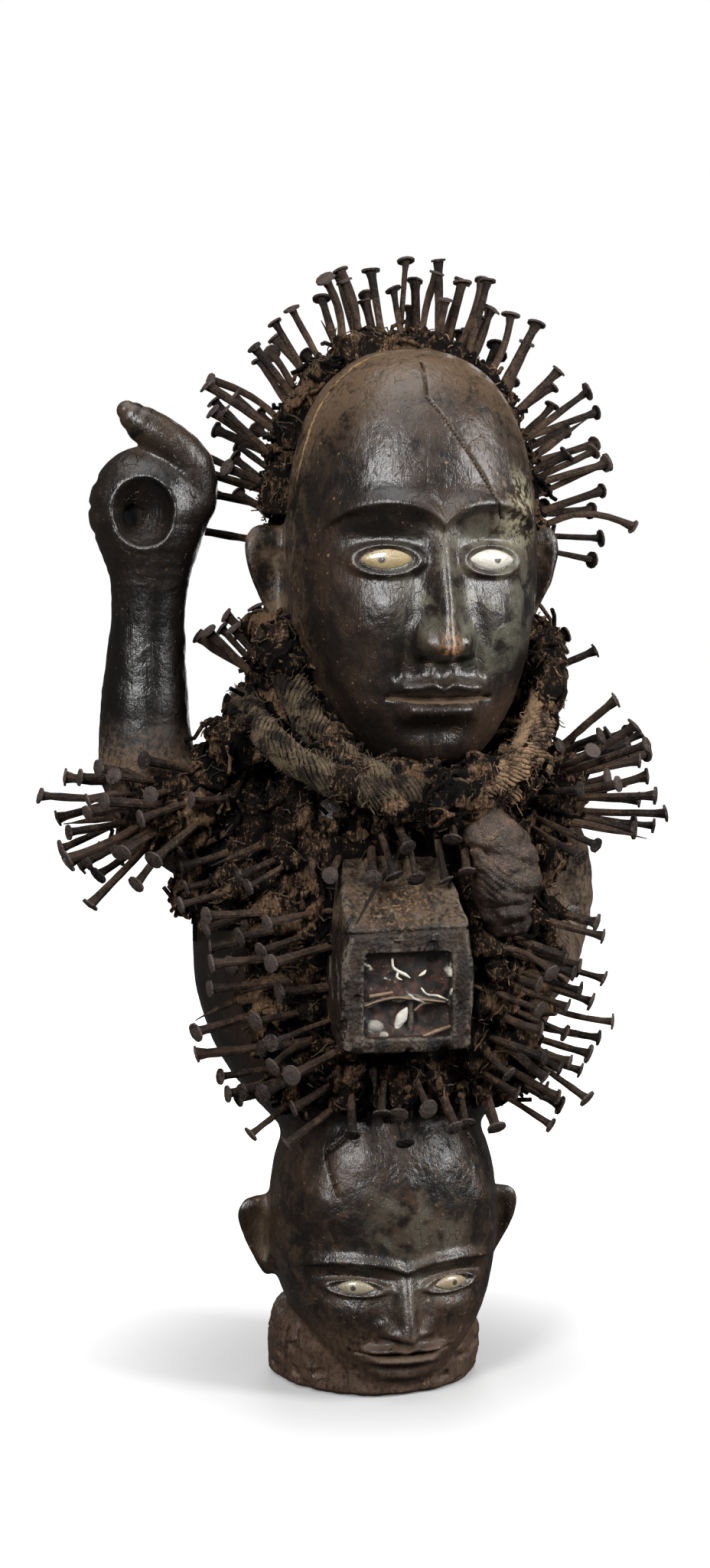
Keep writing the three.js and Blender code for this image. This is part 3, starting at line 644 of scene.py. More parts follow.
def mesh_object(name, vertices, faces, material=None):
    """An object with its place in its mesh. Vertices are millimetres, and all faces have as many corners."""
    mesh = bpy.data.meshes.new(name)
    faces = np.asarray(faces, np.int32)
    mesh.vertices.add(len(vertices))
    mesh.vertices.foreach_set("co", (np.asarray(vertices, np.float32) * MM).ravel())
    mesh.loops.add(faces.size)
    mesh.loops.foreach_set("vertex_index", faces.ravel())
    mesh.polygons.add(len(faces))
    mesh.polygons.foreach_set("loop_start", np.arange(0, faces.size, faces.shape[1], dtype=np.int32))
    mesh.update(calc_edges=True)
    mesh.validate()
    mesh.polygons.foreach_set("use_smooth", np.full(len(mesh.polygons), True))
    if material:
        mesh.materials.append(material)
    return added(name, mesh)


def places_of(piece):
    """The vertices of a piece in millimetres."""
    flat = np.empty(len(piece.data.vertices) * 3, np.float32)
    piece.data.vertices.foreach_get("co", flat)
    return flat.reshape(-1, 3) / MM


def grown_skin(name, field, low, high, step, most_faces, material, edit=None):
    """A piece whose skin is a field's, thinned to a number of triangles."""
    step = step * 1
    values = sampled(field, low, high, step)
    if edit:
        edit(values, np.array(low, np.float32), step)
    vertices, quads = skin_of(values, low, step)
    if not edit:
        lean = slopes(field, vertices)
        steep = np.maximum((lean**2).sum(1), 0.25)
        pull = np.clip(in_chunks(field, vertices) / steep, -0.6 * step, 0.6 * step)
        vertices = vertices - lean * pull[:, None]
    piece = mesh_object(name, vertices, quads, material)
    triangles = 2 * len(quads)
    if triangles > most_faces:
        thin = piece.modifiers.new("thin", "DECIMATE")
        thin.ratio = most_faces / triangles
        full = piece.data
        piece.data = worked_out(piece)
        bpy.data.meshes.remove(full)
        piece.data.name = name
    return piece


def mark(piece, name, values):
    """Stores a number for each vertex of a piece, for its material to read."""
    layer = piece.data.attributes.new(name, "FLOAT", "POINT")
    layer.data.foreach_set("value", np.asarray(values, np.float32).ravel())


def mark_hollows(piece, field, reach):
    """How deep each vertex lies in a hollow: 1 in a crack, 0 on open skin."""
    points = places_of(piece)
    lean = slopes(field, points, 1.0)
    out = lean / np.maximum(np.linalg.norm(lean, axis=1), 1e-3)[:, None]
    open_air = in_chunks(field, points + out * reach)
    mark(piece, "hollow", clamp01(1 - open_air / (reach * 0.92)))


# Nails stand on these surfaces. Each gives a point and the outward direction for two coordinates.


def on_ball(place, turn, lift):
    """Degrees from the front, and degrees up."""
    centre, half = place
    t, lift = math.radians(turn), math.radians(lift)
    out = np.array([math.sin(t) * math.cos(lift), -math.cos(t) * math.cos(lift), math.sin(lift)])
    return np.array(centre) + out * (np.array(half) - 2), out


def on_cap(across, back):
    """Degrees to the side of straight up, and millimetres behind the cap's front edge."""
    centre, half = UPPER_HEAD["centre"], UPPER_HEAD["half"]
    a, b = math.radians(across), math.asin(clamp01((CAP_FRONT + 8 + back - centre[1]) / half[1]))
    out = np.array([math.sin(a) * math.cos(b), math.sin(b), math.cos(a) * math.cos(b)])
    full = UPPER_HEAD["fullness"] if out[2] > 0 else JAW_FULLNESS
    ring = clamp01(1 - abs(out[2]) ** full) ** (1 / full)
    level = math.hypot(out[0], out[1]) or 1
    flat = [h * ring * np.sign(o) * abs(o / level) ** ROUNDNESS for h, o in zip(half, out[:2])]
    return np.array([*flat, half[2] * out[2]]) + out * (CAP_THICKNESS - 3) + centre, out


def on_body(turn, z):
    """Degrees from the front, and height."""
    t = math.radians(turn)
    wide, deep = body_section(z)
    slope = (body_section(z + 8)[0] - wide) / 8
    swell = resin_swell(t, z) - 2
    out = np.array([math.sin(t) / wide, -math.cos(t) / deep, -slope / wide])
    x, y = math.sin(t) * (wide + swell), -math.cos(t) * (deep + swell)
    return np.array([BODY_CENTRE[0] + x, BODY_CENTRE[1] + y, z]), unit_vector(out)


on_raised_shoulder = partial(on_ball, RAISED_SHOULDER)
on_bent_shoulder = partial(on_ball, BENT_SHOULDER)
on_neck = partial(on_ball, NECK_MASS)


def on_collar(across, z):
    """The front of the rolls under the chin, at a distance to the side and a height."""
    return np.array([across, -122.0, z]), np.array([0.0, -1.0, 0.0])


# A group of nails stands in rows over a patch. It gives the surface, the ranges of its two coordinates, the
# rows, the nails in a row, the lean from upright and the range of reach. A last number makes the nails at the
# sides longer. The groups and the numbers are those of the solids, so that the nails fall in the same places.
NAIL_GROUPS = [
    (on_cap, (-82, 82), (0, 12), 1, 19, (0, -0.1, 0.05), (43, 60), 0.36),
    (on_cap, (-77, 77), (20, 104), 4, 10, (0, 0, 0.12), (42, 60), 0.3),
    (on_raised_shoulder, (-112, -24), (-38, 42), 4, 5, (-0.9, -0.2, -0.35), (46, 78)),
    (on_neck, (-124, -76), (22, 54), 3, 4, (-0.6, 0.1, 0.7), (44, 66)),
    (on_collar, (-26, 46), (420, 432), 2, 4, (0, 0.2, -1.4), (30, 44)),
    (on_body, (-43, -17), (236, 368), 6, 4, (-2, 0.05, -0.4), (44, 66)),
    (on_bent_shoulder, (0, 118), (-24, 50), 4, 5, (1.1, -0.15, 0.1), (50, 82)),
    (on_body, (18, 45), (236, 362), 6, 4, (2, 0.05, -0.8), (42, 62)),
    (on_body, (-38, 38), (222, 256), 2, 5, (0, -0.5, -0.9), (26, 46)),
    (on_body, (128, 232), (386, 438), 2, 6, (0, 0.3, 0.2), (34, 54)),
]
# More nails between the first ones, closer together and not so long
FILL_GROUPS = [
    (on_cap, (-76, 76), (0, 14), 1, 14, (0, -0.25, 0.05), (26, 52)),
    (on_cap, (-76, 76), (10, 60), 2, 11, (0, 0, 0.1), (34, 58)),
    (on_cap, (46, 90), (4, 40), 3, 5, (0.25, -0.1, 0), (64, 88)),
    (on_cap, (-14, 46), (10, 38), 2, 9, (0, -0.2, 0.3), (50, 74)),
    (on_cap, (-88, -50), (4, 36), 2, 5, (-0.2, -0.1, 0), (44, 70)),
    (on_raised_shoulder, (-40, 34), (-14, 54), 3, 4, (-1.6, 0.2, -0.6), (36, 62)),
    (on_raised_shoulder, (-112, -20), (-40, 40), 4, 5, (-0.9, -0.2, -0.5), (34, 66)),
    (on_neck, (-126, -76), (18, 52), 3, 4, (-0.6, 0.1, 0.7), (34, 56)),
    (on_neck, (76, 116), (24, 64), 3, 3, (0.9, 0.0, 0.3), (40, 60)),
    (on_collar, (-32, 50), (418, 434), 2, 6, (0, 0.25, -1.3), (20, 36)),
    (on_body, (-30, 20), (392, 412), 1, 6, (0, -0.5, -0.9), (34, 50)),
    (on_body, (-46, -15), (218, 376), 8, 4, (-2.6, 0.3, -0.5), (30, 56)),
    (on_bent_shoulder, (-10, 118), (-34, 56), 5, 5, (0.9, -0.3, -0.1), (34, 64)),
    (on_body, (17, 48), (218, 368), 8, 4, (1.6, 0.0, -0.8), (30, 52)),
    (on_body, (-46, 46), (216, 260), 2, 5, (0, -0.6, -0.8), (20, 38)),
    (on_body, (-62, -30), (372, 424), 3, 4, (-2, 0.4, -1.2), (28, 50)),
    (on_body, (110, 250), (380, 440), 3, 7, (0, 0.3, 0.2), (28, 48)),
]
# Balls that no nail goes through, each with its centre and half sizes
KEEP_CLEAR = [
    ((21, -34, 617), (101, 120, 162)),
    ((4, -20, 112), (98, 98, 110)),
    ((-9, -130, 318), (52, 42, 64)),
    ((70, -118, 392), (30, 28, 54)),
    ((-175, 0, 560), (38, 40, 92)),
    (FIST[0], (52, 46, 64)),
    ((150, 26, 362), (38, 36, 34)),
    ((21, -130, 449), (40, 20, 15)),
]
# The room that a nail needs: its thickness, its head's width, the length in the wood and the gap to others
NAIL_SHANK = 6
NAIL_HEAD = 14
NAIL_ROOT = 12
NAIL_SPACING = 1.2
NAIL_STEPS = 12
# Where a nail is tested against the balls, as shares of its reach
TEST_SHARES = (0.1, 0.3, 0.5, 0.65, 0.8, 0.9, 1)
FILL_SALT = 40
FILL_NEARNESS = 0.8


def crosses_place(nail):
    for share in TEST_SHARES:
        point = nail["root"] + nail["aim"] * nail["reach"] * share
        if any(np.linalg.norm((point - centre) / np.array(half)) < 1 for centre, half in KEEP_CLEAR):
            return True
    return False


def along_nail(nail):
    shares = np.linspace(0, 1, NAIL_STEPS + 1)[:, None]
    return nail["root"] + nail["aim"] * between(-NAIL_ROOT, nail["reach"], shares)


def nearness(line, lines):
    """How near a nail comes to the nearest of the others, as a share of the room that they need."""
    if not lines:
        return 9
    thick = np.full(NAIL_STEPS + 1, NAIL_SHANK / 2.0)
    thick[-1] = NAIL_HEAD / 2
    room = thick[:, None] + thick[None, :] + NAIL_SPACING
    gaps = np.linalg.norm(line[None, :, None, :] - np.array(lines)[:, None, :, :], axis=-1)
    return (gaps / room).min()


def place_nails(groups, placed, salt_from, least):
    """Adds the nails of groups that leave the placed ones and each other enough room."""
    lines = [along_nail(nail) for nail in placed]
    for salt, group in enumerate(groups, salt_from):
        surface, u_range, v_range, rows, per_row, lean, reach, *longer = group
        for i in range(rows * per_row):
            row, column = i // per_row, i % per_row + (i // per_row % 2) * 0.5

            def shift(kind):
                return chance(i + 1, salt * 7 + kind) - 0.5

            u = between(*u_range, (column + 0.25 + 0.6 * shift(1)) / per_row)
            v = between(*v_range, (row + 0.5 + 0.6 * shift(2)) / rows)
            root, out = surface(u, v)
            aim = unit_vector(out + np.array(lean)) + np.array([shift(3), shift(4), shift(5)]) * 0.4
            growth = 1 + (longer[0] if longer else 0) * abs(u) / 90
            nail = {"root": root, "aim": unit_vector(aim), "reach": between(*reach, shift(6) + 0.5) * growth}
            nail["seed"] = chance(i + 3, salt)
            line = along_nail(nail)
            if not crosses_place(nail) and nearness(line, lines) >= least:
                placed.append(nail)
                lines.append(line)
    return placed


def every_nail():
    return place_nails(FILL_GROUPS, place_nails(NAIL_GROUPS, [], 0, 1), FILL_SALT, FILL_NEARNESS)


NAILS = every_nail()


def box_room(p):
    """The room that the crust leaves round the medicine box and over its roof."""
    x, y, z = (a - c for a, c in zip(p, BOX_FRONT))
    wide, deep, tall = BOX_SIZE
    roof = ((z - tall / 2) * deep - y * BOX_ROOF_RISE) / math.hypot(BOX_ROOF_RISE, deep)
    room = soft_max(np.abs(x) - wide / 2 - 7, roof - 12, 8)
    room = soft_max(room, -tall / 2 - 1 - z, 5) + 2.5 * lumps(p, 12, 71)
    return soft_max(room, y - 58 + 0.1 * np.abs(x), 8)


def block_of(values, low, step, lowest, highest):
    """The part of sampled values between two corners, as slices, and its places."""
    start = np.maximum(((lowest - low) / step).astype(int), 0)
    end = np.clip(((highest - low) / step).astype(int), start, values.shape)
    axes = [edge + step * np.arange(a, b) for edge, a, b in zip(low, start, end)]
    return tuple(map(slice, start, end)), np.meshgrid(*axes, indexing="ij", sparse=True)


def heap_round_nails(nails, radius, height, room=None):
    """Returns an edit of sampled values that heaps crust round the roots of nails, and clears a room."""

    def edit(values, low, step):
        for nail in nails:
            size = radius * (0.7 + 0.6 * nail["seed"])
            tip = nail["root"] + nail["aim"] * height * nail["seed"]
            lowest = np.minimum(nail["root"], tip) - size - 6
            highest = np.maximum(nail["root"], tip) + size + 6
            box, p = block_of(values, low, step, lowest, highest)
            gap, share = beside_line(p, nail["root"], tip - nail["root"])
            wobble = 1.4 * np.sin(p[0] * 0.9 + nail["seed"] * 20) * np.sin(p[1] * 0.8) * np.sin(p[2] * 0.7)
            values[box] = soft_min(values[box], gap - size * (1 - 0.45 * share) - wobble, 5)
        if room:
            front = np.array(BOX_FRONT)
            box, p = block_of(values, low, step, front - (70, 10, 60), front + (70, 80, 120))
            values[box] = soft_max(values[box], -room(p), 4)

    return edit


# Node trees, written as sums


class Wire:
    """A socket of a node tree. Sums of wires and numbers add Math nodes."""

    def __init__(self, graph, socket):
        self.graph = graph
        self.socket = socket

    def maths(self, operation, *terms):
        return self.graph.node("ShaderNodeMath", *terms, settings={"operation": operation})[0]

    def __add__(self, other):
        return self.maths("ADD", self, other)

    def __radd__(self, other):
        return self.maths("ADD", other, self)

    def __sub__(self, other):
        return self.maths("SUBTRACT", self, other)

    def __rsub__(self, other):
        return self.maths("SUBTRACT", other, self)

    def __mul__(self, other):
        return self.maths("MULTIPLY", self, other)

    def __rmul__(self, other):
        return self.maths("MULTIPLY", other, self)

    def __truediv__(self, other):
        return self.maths("DIVIDE", self, other)

    def least(self, other):
        return self.maths("MINIMUM", self, other)

    def magnitude(self):
        return self.maths("ABSOLUTE", self)

    def cosine(self):
        return self.maths("COSINE", self)

    def sine(self):
        return self.maths("SINE", self)

    def step(self, low, high):
        """0 below low and 1 above high, with a smooth rise between; low above high turns it round."""
        turned = low > high
        sockets = {"from_min": min(low, high), "from_max": max(low, high)}
        sockets |= {"to_min": float(turned), "to_max": float(not turned)}
        settings = {"interpolation_type": "SMOOTHSTEP"}
        return self.graph.node("ShaderNodeMapRange", settings=settings, value=self, **sockets)["Result"]


class Made:
    """A node that was added. Its outputs are found by number, identifier or name."""

    def __init__(self, graph, node):
        self.graph = graph
        self.node = node

    def __getitem__(self, key):
        return Wire(self.graph, socket_of(self.node.outputs, key))


def socket_of(sockets, key):
    """A socket by its number, its identifier or its name, which may be in small letters."""
    if isinstance(key, int):
        return sockets[key]
    for wanted in (key, key.replace("_", " ").title().replace("Ior", "IOR")):
        for kind in ("identifier", "name"):
            for socket in sockets:
                if getattr(socket, kind) == wanted:
                    return socket
    raise KeyError(key)


class Graph:
    """A node tree under construction."""

    def __init__(self, tree):
        self.tree = tree
        self.inputs = None

    def node(self, kind, *terms, settings=None, **sockets):
        """Adds a node: its settings are set first, then its sockets in their order, then those by name."""
        node = self.tree.nodes.new(kind)
        for name, value in (settings or {}).items():
            setattr(node, name, value)
        for key, value in (*enumerate(terms), *sockets.items()):
            self.feed(socket_of(node.inputs, key), value)
        return Made(self, node)

    def geo(self, kind, **sockets):
        """Adds a geometry node and gives its first output."""
        return self.node("GeometryNode" + kind, **sockets)[0]

    def feed(self, socket, value):
        if isinstance(value, Wire):
            self.tree.links.new(value.socket, socket)
        elif value is not None:
            socket.default_value = value

    def vector(self, operation, *terms):
        made = self.node("ShaderNodeVectorMath", settings={"operation": operation})
        last = "Scale" if operation == "SCALE" else 1
        for key, term in zip((0, last), terms):
            self.feed(socket_of(made.node.inputs, key), term)
        return made["Value" if operation in ("DISTANCE", "LENGTH") else "Vector"]

    def noise(self, at, scale, detail=4, roughness=0.5, distortion=0):
        sockets = {"vector": at, "scale": scale, "detail": detail, "roughness": roughness}
        return self.node("ShaderNodeTexNoise", **sockets, distortion=distortion)["Fac"]


class Paint(Graph):
    """A procedural material, built up in coats. Places are Object coordinates in metres."""

    def __init__(self, name, base=None):
        self.material = bpy.data.materials.new(name)
        self.material.use_nodes = True
        super().__init__(self.material.node_tree)
        self.tree.nodes.clear()
        self.shader = self.node("ShaderNodeBsdfPrincipled")
        self.node("ShaderNodeOutputMaterial", surface=self.shader["BSDF"])
        self.at = self.node("ShaderNodeTexCoord")["Object"]
        parts = self.node("ShaderNodeSeparateXYZ", vector=self.at)
        self.x, self.y, self.z = parts["X"], parts["Y"], parts["Z"]
        self.skin = base

    def attribute(self, name):
        return self.node("ShaderNodeAttribute", settings={"attribute_name": name})["Fac"]

    def stretched(self, x, y, z):
        """The place, with a pattern drawn out along an axis where its number is small."""
        return self.vector("MULTIPLY", self.at, (x, y, z))

    def cells(self, at, scale, feature="DISTANCE_TO_EDGE"):
        settings = {"feature": feature}
        return self.node("ShaderNodeTexVoronoi", settings=settings, vector=at, scale=scale)["Distance"]

    def mix(self, mask, first, second):
        sockets = {"Factor_Float": mask, "A_Color": colour(first), "B_Color": colour(second)}
        return self.node("ShaderNodeMix", settings={"data_type": "RGBA"}, **sockets)["Result_Color"]

    def lay(self, mask, coat):
        """Covers the skin with a coat of colour where the mask is 1."""
        self.skin = self.mix(mask, self.skin, coat)

    def spot(self, centre, radius, blur=0.5):
        """1 round a place in millimetres, fading out at the radius."""
        metres = tuple(c * MM for c in centre)
        return self.vector("DISTANCE", self.at, metres).step(radius * MM, radius * MM * (1 - blur))

    def finish(self, roughness, height=None, depth=0.001, **others):
        """Feeds the shader. Height is in shares of depth, which is metres."""
        if height is not None:
            sockets = {"height": height, "distance": depth, "strength": 1.0}
            others["normal"] = self.node("ShaderNodeBump", **sockets)["Normal"]
        others |= {"base_color": colour(self.skin), "roughness": roughness}
        for name, value in others.items():
            self.feed(socket_of(self.shader.node.inputs, name), value)
        return self.material


def colour(value):
    """A colour with its alpha, or a wire as it is."""
    if isinstance(value, Wire):
        return value
    return (*value[:3], 1.0)


def dimmed(value, share):
    """A darker colour of the same hue."""
    return tuple(c * share for c in value)


# Materials


class WoodPaint(Paint):
    """The coats of the carved wood, one kind of wear at a time."""

    def __init__(self, look):
        super().__init__("carved wood", look.patina)
        self.look = look
        self.broad = self.noise(self.at, 11, 3)
        self.patches = self.noise(self.at, 46, 5, 0.6, 0.6)
        self.fine = self.noise(self.at, 260, 4, 0.6)
        self.pores = self.noise(self.stretched(1, 1, 0.22), 900, 2, 0.6)
        self.grain = self.noise(self.stretched(1, 1, 0.06), 330, 3, 0.55, 0.4)

    def lay_dust(self):
        """Dust in the hollows, on the temples and on the plinth, and a paler patch on the bent elbow."""
        patches, fine = self.patches, self.fine
        dusty = (self.attribute("hollow") * 1.1 + patches * 0.5 - 0.42).step(0.0, 0.75)
        temples = self.z.step(0.5, 0.56) * self.y.step(-0.085, -0.05) * self.x.step(-0.115, -0.1)
        sides = temples * (fine * 0.6 + patches * 0.7).step(0.54, 0.86)
        plinth = self.z.step(0.062, 0.045) * (fine * 0.7 + self.grain * 0.5).step(0.35, 0.75)
        elbow = self.x.step(0.112, 0.128) * self.z.step(0.47, 0.4)
        elbow = elbow * (fine * 0.5 + patches * 0.6).step(0.35, 0.7)
        self.lay(plinth * 0.85, (0.075, 0.04, 0.022))
        self.lay(elbow * 0.85, (0.145, 0.1, 0.068))
        self.lay((dusty + sides * 0.75).least(1) * 0.85, self.look.dust)
        return dusty + sides + plinth

    def lay_sheen_and_stains(self):
        """Grey dust and a painted sheen on the cheeks, stains on the lower head, dust on the crown and specks
        all over.
        """
        patches, fine = self.patches, self.fine
        cheeks = self.spot((48, -125, 592), 76) + self.spot((10, -110, 118), 60) * 0.6
        # The grey on the cheeks of both heads is partly dust, partly a painted sheen.
        self.lay(cheeks * patches.step(0.4, 0.6) * 0.65, (0.1, 0.096, 0.07))
        stains = self.z.step(0.24, 0.2) * self.noise(self.at, 70, 5, 0.7, 0.9).step(0.46, 0.66)
        self.lay(stains * 0.6, (0.056, 0.034, 0.021))
        crown = self.z.step(0.67, 0.75) * self.y.step(-0.14, -0.07)
        self.lay(crown * (patches * 0.7 + fine * 0.5).step(0.42, 0.62) * 0.9, self.look.dust)
        specks = self.cells(self.at, 105, "F1").step(0.17, 0.12) * fine.step(0.5, 0.6)
        self.lay(specks * self.broad.step(0.4, 0.6) * 0.8, (0.2, 0.12, 0.06))

    def lay_bare_spots(self):
        """Bare wood on the nose, chips over the left brow, and the pale line that the cap left."""
        patches, fine = self.patches, self.fine
        nose = self.spot((24, -181, 556), 32, 0.75) * fine.step(0.42, 0.56)
        self.lay(nose * 0.8, (0.3, 0.135, 0.045))
        chips = self.spot((88, -108, 655), 40, 0.8) * (patches * 0.6 + fine * 0.5).step(0.5, 0.6)
        self.lay(chips * 0.75, (0.3, 0.27, 0.17))
        rim = self.y + 0.043 + (self.z - 0.65) * 0.09 + patches * 0.006
        rim = rim.magnitude().step(0.0032, 0.0008)
        rim = rim * self.z.step(0.66, 0.7) * self.x.step(0.02, -0.03) * fine.step(0.4, 0.55)
        self.lay(rim * 0.7, (0.36, 0.22, 0.08))
        return chips

    def lay_cracks(self):
        """Crackled patina, scratches on the forehead, pores and the open cracks."""
        patches = self.patches
        crackle = self.cells(self.stretched(1, 1, 0.55), 150).step(0.03, 0.0) * patches.step(0.55, 0.66)
        web = self.cells(self.stretched(1, 1, 0.7), 62).step(0.014, 0.0) * self.broad.step(0.46, 0.6)
        web = web * self.z.step(0.6, 0.66)
        scratches = self.cells(self.stretched(0.2, 1, 1.4), 105).step(0.014, 0.0) * patches.step(0.5, 0.58)
        scratches = (scratches * self.z.step(0.6, 0.66) + web).least(1)
        dark = crackle * 0.7 + scratches * 0.8 + self.pores.step(0.66, 0.72) * 0.5
        self.lay((dark + self.attribute("crack") * 1.4).least(1) * 0.85, (0.005, 0.004, 0.003))
        return crackle

    def lay_soot(self):
        """The raised arm, black with soot and muddy at its root."""
        arm = self.x.step(-0.105, -0.125)
        self.lay(arm * (self.z.step(0.66, 0.6) * 0.25 + 0.55), (0.003, 0.0022, 0.0018))
        soiled = arm * (self.z + self.patches * 0.06).step(0.535, 0.495) * self.z.step(0.37, 0.4)
        light = (self.fine * 0.7 + self.patches * 0.5).step(0.5, 0.72)
        self.lay(soiled * 0.95, self.mix(light, (0.006, 0.004, 0.0028), (0.095, 0.058, 0.033)))
        return soiled


def carved_wood(look):
    """Dark wood under an old patina: glossy on the faces, dusty brown in the hollows."""
    paint = WoodPaint(look)
    patches, fine, grain = paint.patches, paint.fine, paint.grain
    worn = (paint.broad * 0.7 + patches * 0.5).step(0.52, 0.8)
    paint.lay(worn, look.brown)
    paint.lay(grain.step(0.52, 0.7) * 0.45, dimmed(look.patina, 0.35))
    dull = paint.lay_dust()
    paint.lay_sheen_and_stains()
    chips = paint.lay_bare_spots()
    crackle = paint.lay_cracks()
    nicks = paint.cells(paint.at, 170, "F1").step(0.16, 0.09) * patches.step(0.5, 0.6)
    paint.lay(nicks * 0.7, (0.13, 0.062, 0.028))
    soiled = paint.lay_soot()
    drips = paint.noise(paint.stretched(1, 1, 0.09), 120, 3, 0.6, 0.5).step(0.5, 0.68)
    rough = 0.2 + 0.2 * fine + 0.05 * drips + 0.14 * worn
    rough = rough + 0.34 * (dull + nicks).least(1) + 0.2 * chips + 0.45 * soiled
    height = fine * 0.4 + paint.pores * 0.12 + grain * 0.06 + drips * 0.1
    height = height - crackle * 0.6 + patches * 0.7 - nicks * 0.5
    return paint.finish(rough.least(0.95), height, 0.0013, specular_ior_level=0.45)


def resin_crust(look):
    """Earth, resin and plant fibre, matt and clotted, with painted shade in its hollows and pale crests that
    carry a painted highlight.
    """
    paint = Paint("resin crust", look.deep)
    clods = paint.noise(paint.at, 70, 6, 0.65, 0.8)
    crumbs = paint.noise(paint.at, 380, 5, 0.7)
    threads = paint.noise(paint.stretched(1, 0.35, 0.2), 300, 3, 0.6, 2.2)
    hollow = paint.attribute("hollow")
    # The hollows keep the near-black base: painted shade.
    light = clods * 0.9 + crumbs * 0.5 + threads * 0.4 - hollow * 1.3
    paint.lay(light.step(0.76, 1.04), look.earth)
    cloth = paint.noise(paint.at, 26, 4, 0.6) * 0.9 + clods * 0.5 + threads * 0.4
    cloth = cloth + crumbs * 0.3 - hollow * 0.9
    paint.lay(cloth.step(1.01, 1.2) * 0.85, dimmed(look.crest, 0.42))
    # Pale crumbs on the crests, partly a painted highlight.
    pale_crests_and_highlights = crumbs * 1.0 + threads * 0.4 + clods * 0.3 - hollow * 0.9
    paint.lay(pale_crests_and_highlights.step(0.9, 1.06) * 0.7, look.crest)
    # Painted shade: the hollows darkened almost to black.
    paint.lay(hollow.step(0.15, 0.8) * 0.9, dimmed(look.deep, 0.3))
    height = clods * 0.8 + crumbs * 0.5 + threads * 0.5
    return paint.finish(0.62 + 0.3 * crumbs, height, 0.003, specular_ior_level=0.08)


def plant_fibre(look):
    """Soiled twisted fibre, more olive on the figure's right, with painted shade under the chin and on the
    core between the strands.
    """
    paint = Paint("plant fibre", look.soiled)
    soil = paint.noise(paint.at, 60, 5, 0.6)
    threads = paint.noise(paint.at, 900, 3, 0.6, 1.5)
    olive = paint.mix(paint.x.step(0.05, 0.01), look.fibre, (0.1, 0.073, 0.044))
    paint.lay((soil * 0.8 + threads * 0.5).step(0.56, 0.74), olive)
    # Painted shade: the rope darkened under the chin.
    painted_shade_under_chin = paint.spot((24, -136, 448), 48, 0.7)
    paint.lay(painted_shade_under_chin * 0.6, look.soiled)
    # Painted shade: the core that shows between the strands is near black.
    paint.lay(paint.attribute("hollow"), (0.002, 0.0014, 0.001))
    height = threads * 0.8 + soil * 0.4
    return paint.finish(0.82 + 0.15 * threads, height, 0.0015, specular_ior_level=0.2)


def forged_iron(look):
    """Hand-forged iron, dark with dry rust, and paler on the hammered heads."""
    paint = Paint("forged iron", look.iron)
    blotch = paint.noise(paint.at, 150, 4, 0.6)
    scale = paint.noise(paint.at, 640, 5, 0.7)
    each = paint.attribute("seed")
    rust = (blotch * 0.5 + scale * 0.8 + each * 0.3).step(0.64, 0.96)
    paint.lay(rust, look.rust)
    earthy = (paint.attribute("dusty") * 0.45 + blotch * 0.5 + scale * 0.8).step(0.74, 1.0)
    paint.lay(earthy * 0.75, (0.085, 0.051, 0.03))
    top = paint.attribute("head") * (blotch * 0.6 + scale * 1.2 + each * 0.3).step(0.84, 1.14)
    paint.lay(top * 0.85, look.worn_head)
    height = scale * 0.6 + blotch * 0.5
    metallic = 0.25 - rust * 0.2
    return paint.finish(0.55 + 0.3 * scale, height, 0.002, metallic=metallic, specular_ior_level=0.2)


def dried_hide(look):
    """Wrinkled hide, polished on its folds, with painted shade in its hollows."""
    paint = Paint("dried hide", look.hide_dark)
    blotch = paint.noise(paint.at, 75, 5, 0.6, 0.5)
    skin_grain = paint.cells(paint.at, 620).step(0.0, 0.25)
    grit = paint.noise(paint.at, 700, 4, 0.7)
    hollow = paint.attribute("hollow")
    paint.lay((blotch * 0.6 + grit * 0.8).step(0.56, 0.86), look.hide_tan)
    paint.lay((grit * 0.9 + blotch * 0.4).step(0.72, 0.82) * 0.7, (0.19, 0.12, 0.07))
    # Painted shade in the hollows of the folds.
    paint.lay(hollow.step(0.2, 0.9) * 0.8, dimmed(look.hide_dark, 0.25))
    # Darker towards the bottom.
    paint.lay(paint.z.step(0.4, 0.37) * 0.6, look.hide_dark)
    rough = 0.18 + 0.26 * blotch + 0.25 * hollow
    height = skin_grain * 0.2 + grit * 0.7 + blotch * 0.8
    return paint.finish(rough, height, 0.0015, specular_ior_level=0.5)


def box_wood(look):
    """The box under wax, soot and handling: worn edges with a painted sheen, dusty roof, painted shade in the
    hollows.
    """
    paint = Paint("box wood", look.box_dark)
    smear = paint.noise(paint.stretched(1, 1, 0.45), 60, 5, 0.6, 0.8)
    fine = paint.noise(paint.at, 380, 4, 0.6)
    grain = paint.noise(paint.stretched(0.6, 1, 0.1), 420, 3, 0.5, 0.3)
    roof = paint.z.step(0.352, 0.362) * (smear * 0.8 + fine * 0.6).step(0.52, 0.86)
    paint.lay((smear * 0.7 + fine * 0.5).step(0.48, 0.74), look.box_brown)
    paint.lay(roof * 0.8, look.box_dust)
    crumbs = paint.spot((-14, -140, 372), 36, 0.8) * fine.step(0.46, 0.6)
    paint.lay(crumbs * 0.7, (0.16, 0.09, 0.042))
    # Rubbed wear on the edges, painted pale grey as a sheen.
    worn = paint.attribute("edge") * (fine * 0.6 + smear * 0.6).step(0.5, 0.7)
    paint.lay(worn * 0.7, (0.12, 0.1, 0.08))
    # Painted shade in the hollows.
    paint.lay(paint.attribute("hollow").step(0.25, 0.9) * 0.8, (0.01, 0.007, 0.005))
    rough = 0.36 + 0.35 * roof + 0.25 * fine
    height = grain * 0.4 + fine * 0.6 + smear * 0.5 + crumbs * 0.6
    return paint.finish(rough.least(0.9), height, 0.002, specular_ior_level=0.22)


